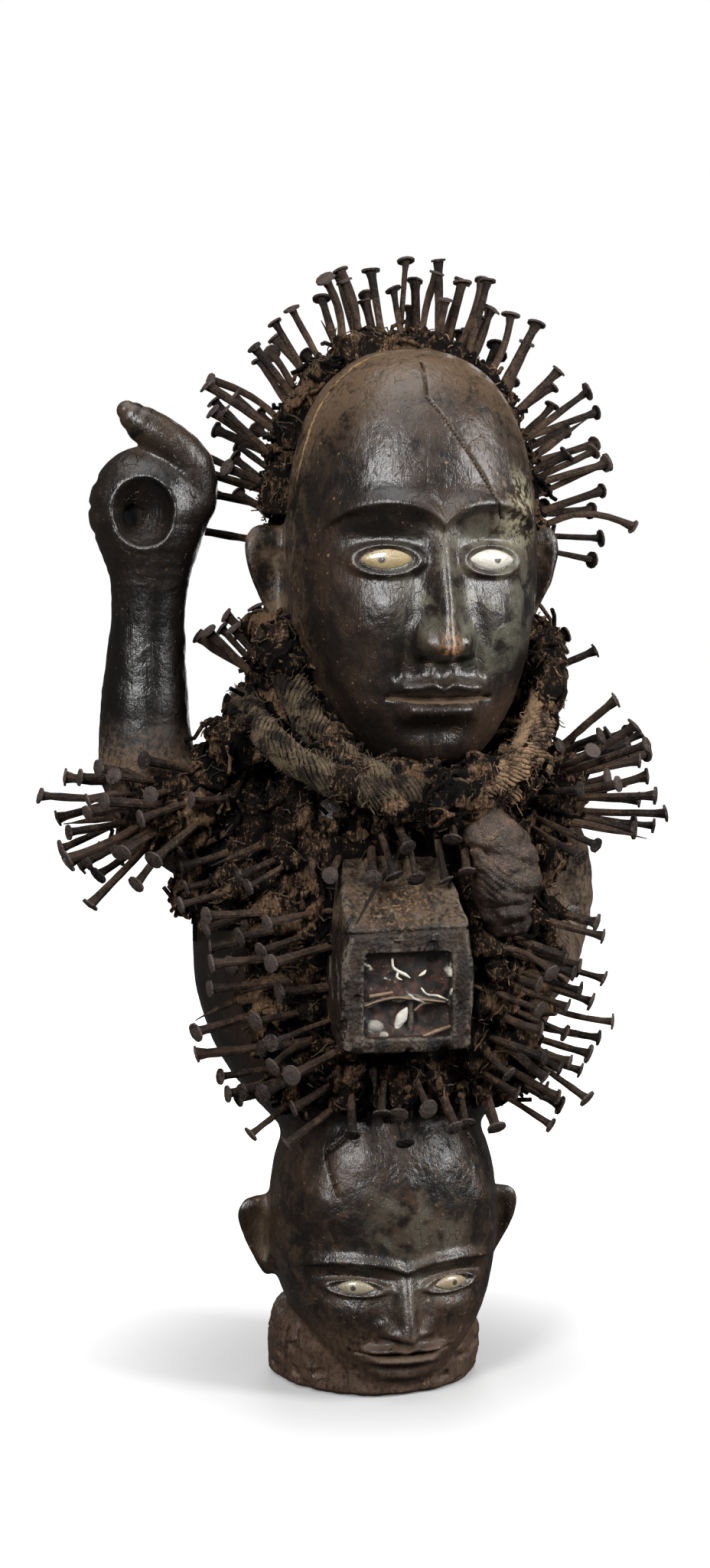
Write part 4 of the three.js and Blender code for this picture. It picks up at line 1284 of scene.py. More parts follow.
def packed_earth():
    """What lies behind the glass: reddish earth with pale bits in it."""
    paint = Paint("packed earth", (0.004, 0.003, 0.0023))
    clods = paint.noise(paint.at, 130, 5, 0.65, 0.6)
    bits = paint.cells(paint.at, 210, "F1")
    paint.lay(clods.step(0.42, 0.66), (0.06, 0.02, 0.01))
    paint.lay(bits.step(0.2, 0.12) * clods.step(0.54, 0.6), (0.2, 0.16, 0.11))
    paint.lay(paint.attribute("pale"), (0.5, 0.48, 0.42))
    return paint.finish(0.8, clods, 0.002)


def bare_stick(name, shade):
    """Twigs, and pale slivers of broken glass painted as glints of light, soiled in patches."""
    paint = Paint(name, shade)
    soil = paint.noise(paint.at, 160, 4, 0.6)
    paint.lay(soil.step(0.5, 0.7), dimmed(shade, 0.3))
    return paint.finish(0.6, soil, 0.0006)


def old_glass():
    """A dusty pane with cracks that catch the light."""
    paint = Paint("old glass", (0.05, 0.05, 0.046))
    film = paint.noise(paint.at, 45, 5, 0.65, 0.5)
    specks = paint.noise(paint.at, 520, 3, 0.6)
    flat = paint.stretched(1, 0, 1)
    wander = paint.node("ShaderNodeTexNoise", vector=flat, scale=60.0)["Color"]
    wandering = paint.vector("ADD", flat, paint.vector("SCALE", wander, 0.012))
    cracks = paint.cells(wandering, 24).step(0.03, 0.004) * film.step(0.5, 0.58)
    dust = (film * 0.7 + specks * 0.4).step(0.55, 0.9)
    paint.lay(cracks, (0.46, 0.42, 0.36))
    alpha = (0.03 + dust * 0.1 + cracks * 0.7).least(0.95)
    return paint.finish(0.06 + dust * 0.35, film, 0.0004, alpha=alpha, specular_ior_level=0.3)


def inlaid_eye(centre, radius, white):
    """A glazed eye: a pupil with a pale ring, on a yellowed or a white ball."""
    paint = Paint("inlaid eye", white)
    front = paint.stretched(1, 0, 1)
    apart = paint.vector("DISTANCE", front, (centre[0] * MM, 0, centre[2] * MM))
    veins = paint.noise(paint.at, 420, 4, 0.7, 1.0)
    paint.lay(veins.step(0.52, 0.72), tuple(c * share for c, share in zip(white, (0.62, 0.42, 0.22))))
    r = radius * MM
    paint.lay(apart.step(r * 1.05, r * 0.9), dimmed(white, 0.7))
    ring = apart.step(r * 1.05, r * 0.85) * apart.step(r * 0.45, r * 0.62)
    paint.lay(ring * 0.5, dimmed(white, 1.5))
    paint.lay(apart.step(r * 0.5, r * 0.35), (0.05, 0.045, 0.035))
    return paint.finish(0.12 + 0.2 * veins, veins, 0.0003, coat_weight=0.6, coat_roughness=0.08)


# Geometry trees


def new_tree(name, sizes, counts=()):
    """The graph of a geometry tree with inputs for sizes, for whole numbers and for a material."""
    tree = bpy.data.node_groups.new(name, "GeometryNodeTree")
    inputs = [("Geometry", "Geometry"), ("Material", "Material")]
    inputs += [(label, "Float") for label in sizes] + [(label, "Int") for label in counts]
    for label, kind in inputs:
        tree.interface.new_socket(label, in_out="INPUT", socket_type="NodeSocket" + kind)
    tree.interface.new_socket("Geometry", in_out="OUTPUT", socket_type="NodeSocketGeometry")
    graph = Graph(tree)
    graph.inputs = graph.node("NodeGroupInput")
    return graph


def end_tree(graph, geometry, smooth=True):
    """Ends a tree: everything real, shaded, and with its material."""
    real = graph.geo("RealizeInstances", geometry=geometry)
    shaded = graph.geo("SetShadeSmooth", geometry=real, shade_smooth=smooth)
    dressed = graph.geo("SetMaterial", geometry=shaded, material=graph.inputs["Material"])
    graph.node("NodeGroupOutput", dressed)
    return graph.tree


def grown_by(tree_name, tree_maker, name, start, values):
    """Runs a tree, made once and shared, on a starting mesh and keeps its result as a plain piece."""
    tree = bpy.data.node_groups.get(tree_name) or tree_maker()
    grower = start.modifiers.new("grow", "NODES")
    grower.node_group = tree
    for socket in tree.interface.items_tree:
        if socket.in_out == "INPUT" and socket.name in values:
            grower[socket.identifier] = values[socket.name]
    mesh = worked_out(start)
    bpy.data.objects.remove(start)
    mesh.name = name
    return added(name, mesh)


def line_mesh(name, points, edges, numbers=None):
    """Bare lines in millimetres, with named numbers for each point."""
    mesh = bpy.data.meshes.new(name)
    mesh.from_pydata((np.asarray(points) * MM).tolist(), edges, [])
    line = added(name, mesh)
    for label, values in (numbers or {}).items():
        mark(line, label, values)
    return line


def named(graph, name):
    return graph.geo("InputNamedAttribute", settings={"data_type": "FLOAT"}, name=name)


def marked(graph, geometry, name):
    """Gives every point of a geometry the number 1 under a name."""
    settings = {"domain": "POINT"}
    return graph.geo("StoreNamedAttribute", settings=settings, geometry=geometry, name=name, value=1.0)


def joined(graph, *parts):
    join = graph.node("GeometryNodeJoinGeometry")
    for part in parts:
        graph.feed(join.node.inputs[0], part)
    return join["Geometry"]


def tube(graph, curve, sides, radius, **sockets):
    """A round tube along a curve, closed at its ends."""
    ring = graph.geo("CurvePrimitiveCircle", resolution=sides, radius=radius)
    return graph.geo("CurveToMesh", curve=curve, profile_curve=ring, fill_caps=True, **sockets)


def random_vector(graph, low, high, seed):
    settings = {"data_type": "FLOAT_VECTOR"}
    return graph.node("FunctionNodeRandomValue", settings=settings, min=low, max=high, seed=seed)["Value"]


def random_number(graph, low, high, seed):
    sockets = {"Min_001": low, "Max_001": high, "seed": seed}
    return graph.node("FunctionNodeRandomValue", settings={"data_type": "FLOAT"}, **sockets)[1]


def turned(graph, rotation, turn):
    settings = {"rotation_space": "LOCAL"}
    return graph.node("FunctionNodeRotateRotation", settings=settings, rotation=rotation, rotate_by=turn)[0]


def jostled(graph, geometry, amount, **noise):
    """Moves points at random, a little differently from place to place."""
    grey = graph.node("ShaderNodeTexNoise", **noise)["Color"]
    drift = graph.vector("SCALE", graph.vector("SUBTRACT", grey, (0.5, 0.5, 0.5)), amount)
    return graph.geo("SetPosition", geometry=geometry, offset=drift)


def nail_head(graph, radius, thickness):
    """A disc with a low dome on it, marked as a head."""
    disc = graph.geo("MeshCylinder", vertices=11, side_segments=1, radius=radius, depth=thickness)
    sockets = {"radius_top": radius * 0.45, "radius_bottom": radius * 0.97, "depth": thickness * 0.5}
    dome = graph.geo("MeshCone", vertices=11, **sockets)
    raised = graph.node("ShaderNodeCombineXYZ", z=thickness * 0.5)[0]
    dome = graph.geo("Transform", geometry=dome, translation=raised)
    return marked(graph, joined(graph, disc, dome), "head")


def nail_tree():
    """Nails along lines: a shank as thick as each point says, and a hammered head on the far end."""
    graph = new_tree("nails", ("Shank radius", "Head radius", "Head thickness", "Roughness"))
    given = graph.inputs
    curve = graph.geo("MeshToCurve", mesh=given["Geometry"])
    shank = tube(graph, curve, 8, given["Shank radius"], scale=named(graph, "girth"))
    head = nail_head(graph, given["Head radius"], given["Head thickness"])
    ends = graph.geo("CurveEndpointSelection", start_size=0, end_size=1) * named(graph, "headed")
    along = {"vector": graph.geo("InputTangent"), "settings": {"axis": "Z"}}
    facing = graph.node("FunctionNodeAlignRotationToVector", **along)[0]
    facing = turned(graph, facing, random_vector(graph, (-0.22, -0.22, -3), (0.22, 0.22, 3), 5))
    sockets = {"selection": ends, "instance": head, "rotation": facing}
    heads = graph.geo("InstanceOnPoints", points=curve, scale=random_number(graph, 0.8, 1.06, 9), **sockets)
    real = graph.geo("RealizeInstances", geometry=joined(graph, shank, heads))
    dented = jostled(graph, real, given["Roughness"], scale=330.0, detail=2.0)
    return end_tree(graph, dented, smooth=False)


def rope_tree():
    """Strands twisted round a core along a line."""
    graph = new_tree("rope", ("Rope radius", "Strand radius", "Wander"), ("Strands", "Turns", "Steps"))
    given = graph.inputs
    line = graph.geo("MeshToCurve", mesh=given["Geometry"])
    even = graph.geo("ResampleCurve", curve=line, count=given["Steps"])
    even = graph.geo("SetCurveNormal", settings={"mode": "Z_UP"}, curve=even)
    sockets = {"geometry": even, "amount": given["Strands"]}
    strands = graph.node("GeometryNodeDuplicateElements", settings={"domain": "SPLINE"}, **sockets)
    share = graph.geo("SplineParameter")
    turn = (share * given["Turns"] + strands["Duplicate Index"] / given["Strands"]) * (2 * math.pi)
    normal = graph.geo("InputNormal")
    side = graph.vector("CROSS_PRODUCT", graph.geo("InputTangent"), normal)
    out = graph.vector("SCALE", normal, turn.cosine())
    out = graph.vector("ADD", out, graph.vector("SCALE", side, turn.sine()))
    apart = given["Rope radius"] - given["Strand radius"]
    sockets = {"geometry": strands["Geometry"], "offset": graph.vector("SCALE", out, apart)}
    wound = tube(graph, graph.geo("SetPosition", **sockets), 6, given["Strand radius"])
    core = tube(graph, even, 10, apart - given["Strand radius"] * 0.6)
    both = joined(graph, wound, marked(graph, core, "hollow"))
    return end_tree(graph, jostled(graph, both, given["Wander"], scale=60.0, detail=4.0, roughness=0.65))


def thread_tree():
    """Short bent fibres scattered over a skin and half sunk in it."""
    graph = new_tree("threads", ("Density", "Length", "Radius", "Curl"), ("Seed",))
    given = graph.inputs
    sockets = {"mesh": given["Geometry"], "density": given["Density"], "seed": given["Seed"]}
    sockets |= {"settings": {"distribute_method": "RANDOM"}, "selection": named(graph, "bare")}
    points = graph.node("GeometryNodeDistributePointsOnFaces", **sockets)
    start = graph.node("ShaderNodeCombineXYZ", x=given["Length"] * -1)[0]
    end = graph.node("ShaderNodeCombineXYZ", x=given["Length"])[0]
    line = graph.geo("CurvePrimitiveLine", start=start, end=end)
    line = graph.geo("ResampleCurve", curve=line, count=6)
    spin = random_vector(graph, (-0.35, -0.35, -3.1), (0.35, 0.35, 3.1), given["Seed"] + 1)
    sockets = {"rotation": turned(graph, points["Rotation"], spin)}
    sockets["scale"] = random_number(graph, 0.4, 1.25, given["Seed"] + 2)
    placed = graph.geo("InstanceOnPoints", points=points["Points"], instance=line, **sockets)
    real = graph.geo("RealizeInstances", geometry=placed)
    bent = jostled(graph, real, given["Curl"], scale=90.0, detail=2.0)
    return end_tree(graph, tube(graph, bent, 5, given["Radius"]))


# Pieces

# Lattice steps in millimetres, and the most triangles of a piece
SKIN_STEP = 1.5
BOX_STEP = 1.0
FINE_STEP = 0.9
MOST_CARVED = 195000
MOST_CAP = 120000
MOST_BOX = 60000
MOST_BUNDLE = 40000
MOST_CONTENTS = 24000
# The fibre rolls go round the neck and the chest through these points.
JAW_ROLL = [
    (21, -131, 449), (78, -114, 464), (110, -84, 503), (123, -40, 552), (116, 34, 562),
    (21, 92, 556), (-74, 34, 562), (-81, -40, 552), (-68, -84, 503), (-36, -114, 464),
]
CHEST_ROLL = [
    (12, -124, 440), (72, -108, 446), (113, -64, 464), (124, 0, 486), (100, 62, 500),
    (10, 92, 506), (-78, 62, 510), (-102, -12, 508), (-103, -62, 500), (-96, -97, 486),
    (-76, -119, 468), (-38, -128, 452),
]
JAW_ROLL_RADIUS = 13
CHEST_ROLL_RADIUS = 11.5
ROPE_POINTS = 240
ROPE_WANDER = 0.011
# Points down the middle of the bundle, each with its radius, and the knobs on it
BUNDLE = [
    (56, -108, 440, 6), (58, -116, 428, 15), (66, -120, 408, 23), (72, -118, 391, 26),
    (73, -116, 372, 21), (75, -112, 356, 16), (77, -106, 342, 6),
]
BUNDLE_KNOBS = [((51, -132, 417), (13, 11, 15)), ((82, -130, 401), (12, 11, 14))]
# The box by the middle of its front, and its window by width, height and drop below that middle
BOX_FRONT = (-9, -158, 313)
BOX_SIZE = (94, 70, 90)
BOX_ROOF_RISE = 54
WINDOW = (68, 64, 4)
WINDOW_DEPTH = 24
CONTENTS_DEPTH = 15
# The share of nails that still have a head, and the depth of hammer marks and of grain in metres
HEADED_SHARE = 0.95
NAIL_ROUGHNESS = 0.0011
STICK_ROUGHNESS = 0.0006


def make_carving(name, material):
    """The block of wood: plinth, both heads, body and arms."""
    low, high = (-232, -194, -1), (196, 112, 786)
    piece = grown_skin(name, carving_field, low, high, SKIN_STEP, MOST_CARVED, material)
    mark_hollows(piece, carving_field, 9)
    mark(piece, "crack", crack_depth(tuple(places_of(piece).T)))
    return piece


def make_mantle(name, material, roughness):
    """Crust on the belly, chest, shoulders and neck, heaped round the nails."""

    def field(p):
        return mantle_field(p, roughness)

    edit = heap_round_nails(NAILS, 9, 12, box_room)
    low, high = (-206, -161, 176), (176, 126, 594)
    piece = grown_skin(name, field, low, high, SKIN_STEP, MOST_CARVED, material, edit)
    mark_hollows(piece, mantle_field, 8)
    mark(piece, "bare", carving_field(tuple(places_of(piece).T)) > 2)
    return piece


def make_cap(name, material, roughness):
    """Crust on the skull, heaped round the nails."""

    def field(p):
        return cap_field(p, roughness)

    low, high = (-110, -60, 555), (150, 118, 812)
    piece = grown_skin(name, field, low, high, SKIN_STEP, MOST_CAP, material, heap_round_nails(NAILS, 8, 9))
    mark_hollows(piece, cap_field, 8)
    mark(piece, "bare", np.ones(len(piece.data.vertices)))
    return piece


def make_rope(name, line, radius, material, look):
    """A twisted roll of fibre along a closed line."""
    places = curve_through(line, ROPE_POINTS, closed=True)
    start = line_mesh(name, places, [(i, (i + 1) % ROPE_POINTS) for i in range(ROPE_POINTS)])
    length = np.linalg.norm(np.diff(places, axis=0), axis=1).sum()
    values = {
        "Strands": look.strands,
        "Turns": max(1, round(length / (look.twist_length / MM))),
        "Steps": round(length / 3),
        "Rope radius": radius * MM,
        "Strand radius": radius * MM * look.strand_share,
        "Wander": ROPE_WANDER,
        "Material": material,
    }
    return grown_by("rope", rope_tree, name, start, values)


def bundle_field(p):
    """A bag of hide with a knob at its top, slack folds across it and a cord round its neck."""
    bag = limb(p, BUNDLE, 24)
    for knob in BUNDLE_KNOBS:
        bag = soft_min(bag, ball(p, *knob), 4)
    x, z = p[0] + 2 * lumps(p, 16, 46), p[2] + 2 * lumps(p, 16, 47)
    slanting = np.sin((0.57 * x + 0.82 * z) * 1.4) * bell(np.hypot(x - 58, (z - 388) * 0.8), 0, 15)
    hanging = np.sin(x * 0.75 + 0.2 * z) * rise(398, 374, z)
    folds = np.abs(lumps(p, 15, 43, (1.3, 1.3, 0.8))) * 2.6
    bag = bag + 2.2 - 0.5 * slanting - 0.5 * hanging - 2.4 * folds - 0.8 * lumps(p, 5, 45)
    height = p[2] - 404 + 0.3 * (p[0] - 60) - 3 * lumps(p, 12, 48)
    return bag + 2.6 * bell(height, 0, 2.6)


def box_field(p):
    """The box from its outside: sides, sloping roof and a recess with a ledge and a post in it."""
    x, y, z = (a - c for a, c in zip(p, BOX_FRONT))
    wide, deep, tall = BOX_SIZE
    wear = 0.9 * lumps(p, 19, 51) + 0.4 * lumps(p, 5, 52, (1, 1, 2.5))
    wear = wear + 1.8 * rise(0.25, 0.6, lumps(p, 9, 54)) + 1.3 * bell(z, 40.5 + 0.03 * x, 1.3) * (y < 12)
    lean = math.hypot(BOX_ROOF_RISE, deep)
    roof = ((z - tall / 2) * deep - y * BOX_ROOF_RISE) / lean
    bulge = 1.5 * (1 - (z / 45) ** 2)
    sides = soft_max(np.abs(x) - wide / 2 + 2.5 * rise(20, 50, z) - bulge, np.maximum(-y, y - deep), 7)
    body = soft_max(soft_max(sides, roof, 4.5), -tall / 2 - z, 5) + wear + 0.5
    u, v = x, z + WINDOW[2]
    hole = soft_max(np.abs(u) - WINDOW[0] / 2 + 2, np.abs(v) - WINDOW[1] / 2 + 2, 5) + 0.4 * lumps(p, 9, 53)
    floor = y - WINDOW_DEPTH
    body = soft_max(body, -soft_max(hole, floor, 2), 2.5)
    middle = -3 - 5 * (u / 34) ** 2 + 1.2 * np.sin(u * 0.3)
    ledge = soft_max(np.abs(v - middle) - 1.9, np.abs(y - 12) - 5, 1.5)
    post = soft_max(soft_max(np.hypot(u - 4, y - 12) - 2.2, v + 4, 1), -v - 34, 1)
    sill = soft_max(np.abs(v + 33) - 1.6, np.abs(y - 9) - 4, 1.5)
    return soft_min(body, soft_max(np.minimum(soft_min(ledge, post, 2), sill), hole - 4, 1), 2)


def contents_field(p):
    """Packed earth at the back of the window, with a shell, a blob of resin and grit on it."""
    x, y, z = (a - c for a, c in zip(p, BOX_FRONT))
    u, v = x, z + WINDOW[2]
    earth = CONTENTS_DEPTH + 3.2 * lumps(p, 16, 61) + 2 * lumps(p, 6, 62) + 6 * rise(-14, -32, v) * -1 - y
    hole = np.hypot((u - 22) / 5, (v - 24) / 4) - 1
    earth = soft_max(earth, -hole * 4, 2) - 5 * bell(u, -34, 5) * (0.4 + lumps(p, 7, 63))
    edges = np.maximum(np.abs(u) - WINDOW[0] / 2 + 0.5, np.abs(v) - WINDOW[1] / 2 + 0.5)
    return soft_min(soft_max(soft_max(earth, edges, 1.5), y - WINDOW_DEPTH - 2, 1), shells_field(u, v, y), 1)


def shells_field(u, v, y):
    """A leaf-shaped shell and a round lump beside it."""
    along, across = (u + 3) * 0.5 + (v + 17) * 0.87, (u + 3) * 0.87 - (v + 17) * 0.5
    thin = 3.6 * np.sqrt(clamp01(1.05 - np.abs(along) / 8.5)) + 0.5
    leaf = np.hypot(np.hypot(along / 8.5, across / thin), (y - 10) / 2.4)
    lump = np.sqrt(((u + 23) / 6) ** 2 + ((v + 23) / 4.5) ** 2 + ((y - 11) / 4) ** 2)
    grit = np.sqrt(((u + 16) / 2.5) ** 2 + ((v + 29) / 2) ** 2 + ((y - 10) / 2) ** 2)
    return np.minimum(np.minimum((leaf - 1) * 2.4, (lump - 1) * 4), (grit - 1) * 2)


# Lines in the window, from the middle of the box's front: across, up, depth and thickness
# The first lines are pale slivers of broken glass: painted glints of light on their edges.
WINDOW_GLASS_GLINTS = [
    [(-10, 21, 9, 1.6), (-9.2, 15, 9, 1.8), (-5.6, 12, 9, 2.2), (-1, 9.6, 9, 2.4), (3, 7, 9, 0.8)],
    [(-5.6, 12, 9, 1.6), (-6.5, 8, 9, 1.8), (-3, 5.5, 9, 0.6)],
    [(9.5, 8, 10, 0.8), (12.8, 9.7, 10, 2.4), (15, 12, 10, 0.6)],
    [(10.5, 0, 7, 1), (14.4, -4.4, 6, 1.5), (22, -5.8, 6, 1.6), (30, -9.3, 6, 0.9)],
]
WINDOW_TWIGS = [
    [(-31, -11.5, 6, 1.4), (-20, -8, 6, 1.6), (-8, -6.2, 6, 1.8), (4, -7.4, 6, 1.7), (28, -10.4, 6, 1.3)],
    [(-27, -5, 8, 2.4), (-18, -4, 8, 2.6), (-10, -2.6, 8, 1.8)],
    [(-33, -38, 4, 1.6), (-12, -38.6, 4, 1.9), (12, -38.3, 4, 1.3)],
    [(12, -34.5, 7, 2.6), (22, -31, 7, 2.9), (32, -28, 7, 2.2)],
    [(6, -16, 8, 1.6), (12, -11.5, 8, 1.8), (20, -10.8, 8, 1.2)],
]
# A thin spike without a head that lies over the box's roof, given in the same way
ROOF_SPIKE = [[(8, 99, 58, 3.4), (2, 90, 45, 3.4), (-20, 70, 18, 3.2), (-40, 49, -10, 1.2)]]


def make_sticks(name, lines, material):
    """Thin pieces along lines that are measured from the box's front."""
    points, edges, girth = [], [], []
    for line in lines:
        start = len(points)
        for across, up, deep, thick in curve_through(line, 14):
            points.append(np.array(BOX_FRONT) + (across, deep, up))
            girth.append(max(thick, 0.4))
        edges += [(i, i + 1) for i in range(start, len(points) - 1)]
    plain = [0] * len(points)
    start = line_mesh(name, points, edges, {"girth": girth, "seed": plain, "headed": plain})
    values = {"Shank radius": 0.5 * MM, "Roughness": STICK_ROUGHNESS, "Material": material}
    return grown_by("nails", nail_tree, name, start, values)


def make_eye(name, head, side, material):
    """An almond lens set into the carved skin."""
    across = EYE_ACROSS * side
    direction = np.array([across, -math.sqrt(1 - across**2), head["eye_line"]])
    middle = eye_place(head, direction)
    width, height = head["eye"]
    turn = side * math.radians(EYE_TURN)
    vertices, faces = ball_mesh(28, 16)
    x, y, z = vertices.T
    open_here = 0.4 + 0.6 * np.sqrt(clamp01(1 - x * x))
    x, y, z = width / 2 * x, EYE_THICKNESS / 2 * y, height / 2 * z * open_here
    c, s = math.cos(turn), math.sin(turn)
    q = (x * c - y * s + middle[0], x * s + y * c + middle[1], z + middle[2])
    return mesh_object(name, np.stack(from_head_axes(head, q), 1), faces, material)


def eye_place(head, direction):
    """Where a line from the head's middle meets the carved skin, in the head's axes."""
    far, near = 2.0, 0.2
    for _ in range(40):
        middle = (far + near) / 2
        q = tuple(np.array([a * h * middle]) for a, h in zip(direction, head["half"]))
        outside = egg(head, (q[0], q[1] + face_shift(head, q), q[2]))[0] > 0
        far, near = (middle, near) if outside else (far, middle)
    return [a * h * near for a, h in zip(direction, head["half"])]


def ball_mesh(columns, rows):
    """A unit ball with its poles at the sides, as vertices and triangles."""
    turns = np.arange(columns) / columns * 2 * math.pi
    turn, climb = np.meshgrid(turns, np.linspace(0.02, math.pi - 0.02, rows))
    ring = [np.cos(climb), np.sin(climb) * np.cos(turn), np.sin(climb) * np.sin(turn)]
    ring = np.stack(ring, -1).reshape(-1, 3)
    vertices = np.vstack([ring, [1, 0, 0], [-1, 0, 0]])
    i, j = np.meshgrid(np.arange(rows - 1), np.arange(columns), indexing="ij")
    a, b = i * columns + j, i * columns + (j + 1) % columns
    quads = np.stack([a, b, b + columns, a + columns], -1).reshape(-1, 4)
    first = np.arange(columns)
    following = (first + 1) % columns
    last_row = (rows - 1) * columns
    top = np.stack([np.full(columns, len(ring)), following, first], 1)
    bottom = np.stack([np.full(columns, len(ring) + 1), first + last_row, following + last_row], 1)
    return vertices, np.vstack([quads[:, [0, 1, 2]], quads[:, [0, 2, 3]], top, bottom])


def make_nails(name, nails, material, look):
    """Nails bent a little, each from its root to its head."""
    points, edges, girth, seeds, heads, dusty = [], [], [], [], [], []
    for nail in nails:
        side = unit_vector(np.cross(nail["aim"], (0.3, 0.5, 0.8)))
        other = np.cross(nail["aim"], side)
        turn = nail["seed"] * 40
        bend = (side * math.cos(turn) + other * math.sin(turn)) * nail["reach"] * 0.04
        bend = bend * (0.2 + 4 * rise(0.86, 1, nail["seed"]))
        thick = 0.76 + 0.44 * chance(len(points), 3)
        headed = chance(len(points), 5) < HEADED_SHARE
        start = len(points)
        for i, share in enumerate(np.linspace(0, 1, 11)):
            free = max(0, share - 0.25)
            straight = nail["root"] + nail["aim"] * between(-NAIL_ROOT, nail["reach"] - 1, share)
            points.append(straight + bend * (free**2 - free * 0.55) * 5)
            shape = 0.8 + 0.16 * share + 0.3 * rise(0.9, 1.0, share)
            if not headed:
                shape = 0.85 * rise(1.02, 0.5, share) + 0.12
            girth.append(shape * thick * (0.92 + 0.16 * chance(i, start)))
            seeds.append(nail["seed"])
            heads.append(headed)
            dusty.append(1 - share)
            if i:
                edges.append((start + i - 1, start + i))
    numbers = {"girth": girth, "seed": seeds, "headed": heads, "dusty": dusty}
    start = line_mesh(name, points, edges, numbers)
    values = {
        "Shank radius": look.nail_shank / 2,
        "Head radius": look.nail_head / 2,
        "Head thickness": look.nail_thickness,
        "Roughness": NAIL_ROUGHNESS,
        "Material": material,
    }
    return grown_by("nails", nail_tree, name, start, values)


def make_threads(name, skin, density, length, width, material, seed):
    """Fibres, twigs or cords that stick out of a crust."""
    values = {
        "Density": density,
        "Length": length / 2,
        "Radius": width / 2,
        "Curl": length * 0.8,
        "Seed": seed,
        "Material": material,
    }
    return grown_by("threads", thread_tree, name, added(name, skin.data.copy()), values)


# The stage

FLOOR_HALF = 9
FLOOR_GREY = (0.38, 0.38, 0.38)
FLOOR_GLOW = (0.15, 0.15, 0.15)
WHITE = (1.0, 1.0, 1.0)
# The camera looks level from the figure's right and is shifted down, so that upright lines stay upright.
CAMERA_AZIMUTH = -12
CAMERA_DISTANCE = 1.9
CAMERA_HEIGHT = 0.592
CAMERA_SLIDE = (-0.0137, 0.0029)
CAMERA_LENS = 56.76
CAMERA_SHIFT = -0.121
LIGHT_AIM = (0, 0, 0.45)
# Kind, place, power and form of each light
LIGHTS = {
    "sky light": ("SUN", (-0.2, -0.3, 2.4), 2.2, {"angle": 0.9}),
    "left light": ("AREA", (-1.25, -1.75, 1.5), 72, {"size": 0.55, "size_y": 1.0}),
    "right light": ("AREA", (1.55, -1.2, 1.3), 66, {"size": 0.5, "size_y": 1.1}),
    "back light": ("AREA", (0.5, 1.9, 0.9), 20, {"size": 0.9, "size_y": 1.2, "specular_factor": 0.4}),
}


def make_floor():
    """A pale floor that glows more, the farther it is from the figure."""
    corners = np.array([(-1, -1, 0), (1, -1, 0), (1, 1, 0), (-1, 1, 0)]) * FLOOR_HALF / MM
    floor = mesh_object("floor", corners, [(0, 1, 2, 3)])
    paint = Paint("pale floor", FLOOR_GREY)
    glow = paint.mix(paint.vector("LENGTH", paint.at).step(0.08, 0.46), FLOOR_GLOW, WHITE)
    floor.data.materials.append(paint.finish(0.8, emission_color=glow, emission_strength=1.0))
    floor.visible_glossy = floor.visible_diffuse = False


def make_surroundings():
    """A world that is white where the camera sees it, and dim where it lights the figure."""
    world = bpy.data.worlds.new("soft studio")
    world.use_nodes = True
    graph = Graph(world.node_tree)
    seen = graph.node("ShaderNodeLightPath")["Is Camera Ray"]
    glow = world.node_tree.nodes["Background"].inputs
    glow["Color"].default_value = (*WHITE, 1)
    graph.feed(glow["Strength"], 0.07 + seen * 0.93)
    bpy.context.scene.world = world
    bpy.context.scene.view_settings.view_transform = "Standard"


def make_camera():
    camera = bpy.data.cameras.new("camera")
    camera.lens = CAMERA_LENS
    camera.shift_y = CAMERA_SHIFT
    turn = math.radians(CAMERA_AZIMUTH)
    x = math.sin(turn) * CAMERA_DISTANCE + CAMERA_SLIDE[0]
    y = -math.cos(turn) * CAMERA_DISTANCE + CAMERA_SLIDE[1]
    eye = added("camera", camera)
    eye.location = (x, y, CAMERA_HEIGHT)
    eye.rotation_euler = (math.pi / 2, 0, turn)
    bpy.context.scene.camera = eye


def add_light(name, kind, place, power, form):
    """Adds a light that points at the figure's middle."""
    lamp = bpy.data.lights.new(name, kind)
    lamp.energy = power
    if kind == "AREA":
        lamp.shape = "RECTANGLE"
    for key, value in form.items():
        setattr(lamp, key, value)
    light = added(name, lamp)
    light.location = place
    light.rotation_euler = (Vector(LIGHT_AIM) - light.location).to_track_quat("-Z", "Y").to_euler()


# Settings that a user would change


def length_setting(name, description, millimetres):
    return bpy.props.FloatProperty(
        name=name, description=description, default=millimetres * MM, min=0, unit="LENGTH", subtype="DISTANCE"
    )


def colour_setting(name, description, value):
    return bpy.props.FloatVectorProperty(
        name=name, description=description, default=value, size=3, min=0, max=1, subtype="COLOR"
    )


def share_setting(name, description, value, most=1.0):
    return bpy.props.FloatProperty(
        name=name, description=description, default=value, min=0, max=most, subtype="FACTOR"
    )


class FigureSizes(bpy.types.PropertyGroup):
    nail_shank: length_setting("Nail shank", "Thickness of a nail's shank", 6.6)
    nail_head: length_setting("Nail head", "Width of a nail's hammered head", 14.5)
    nail_thickness: length_setting("Nail head thickness", "Thickness of a nail's head at its rim", 1.7)
    thread_length: length_setting("Fibre length", "Length of the fibres in the crust", 15)
    thread_width: length_setting("Fibre width", "Thickness of the fibres in the crust", 1.1)
    cord_length: length_setting("Cord length", "Length of the ends of cord in the crust", 32)
    cord_width: length_setting("Cord width", "Thickness of the ends of cord in the crust", 3.6)
    thread_density: bpy.props.FloatProperty(
        name="Fibre density", description="Fibres on a square metre of crust", default=5200, min=0
    )
    twist_length: length_setting("Twist length", "Length of rope over which a strand goes once round", 64)
    strand_share: share_setting("Strand size", "A strand's radius as a share of the rope's", 0.125)
    strands: bpy.props.IntProperty(name="Strands", description="Strands in a rope", default=15, min=2)
    crust_roughness: share_setting("Crust roughness", "Height of the crust's folds and clods", 1.0, 2.0)


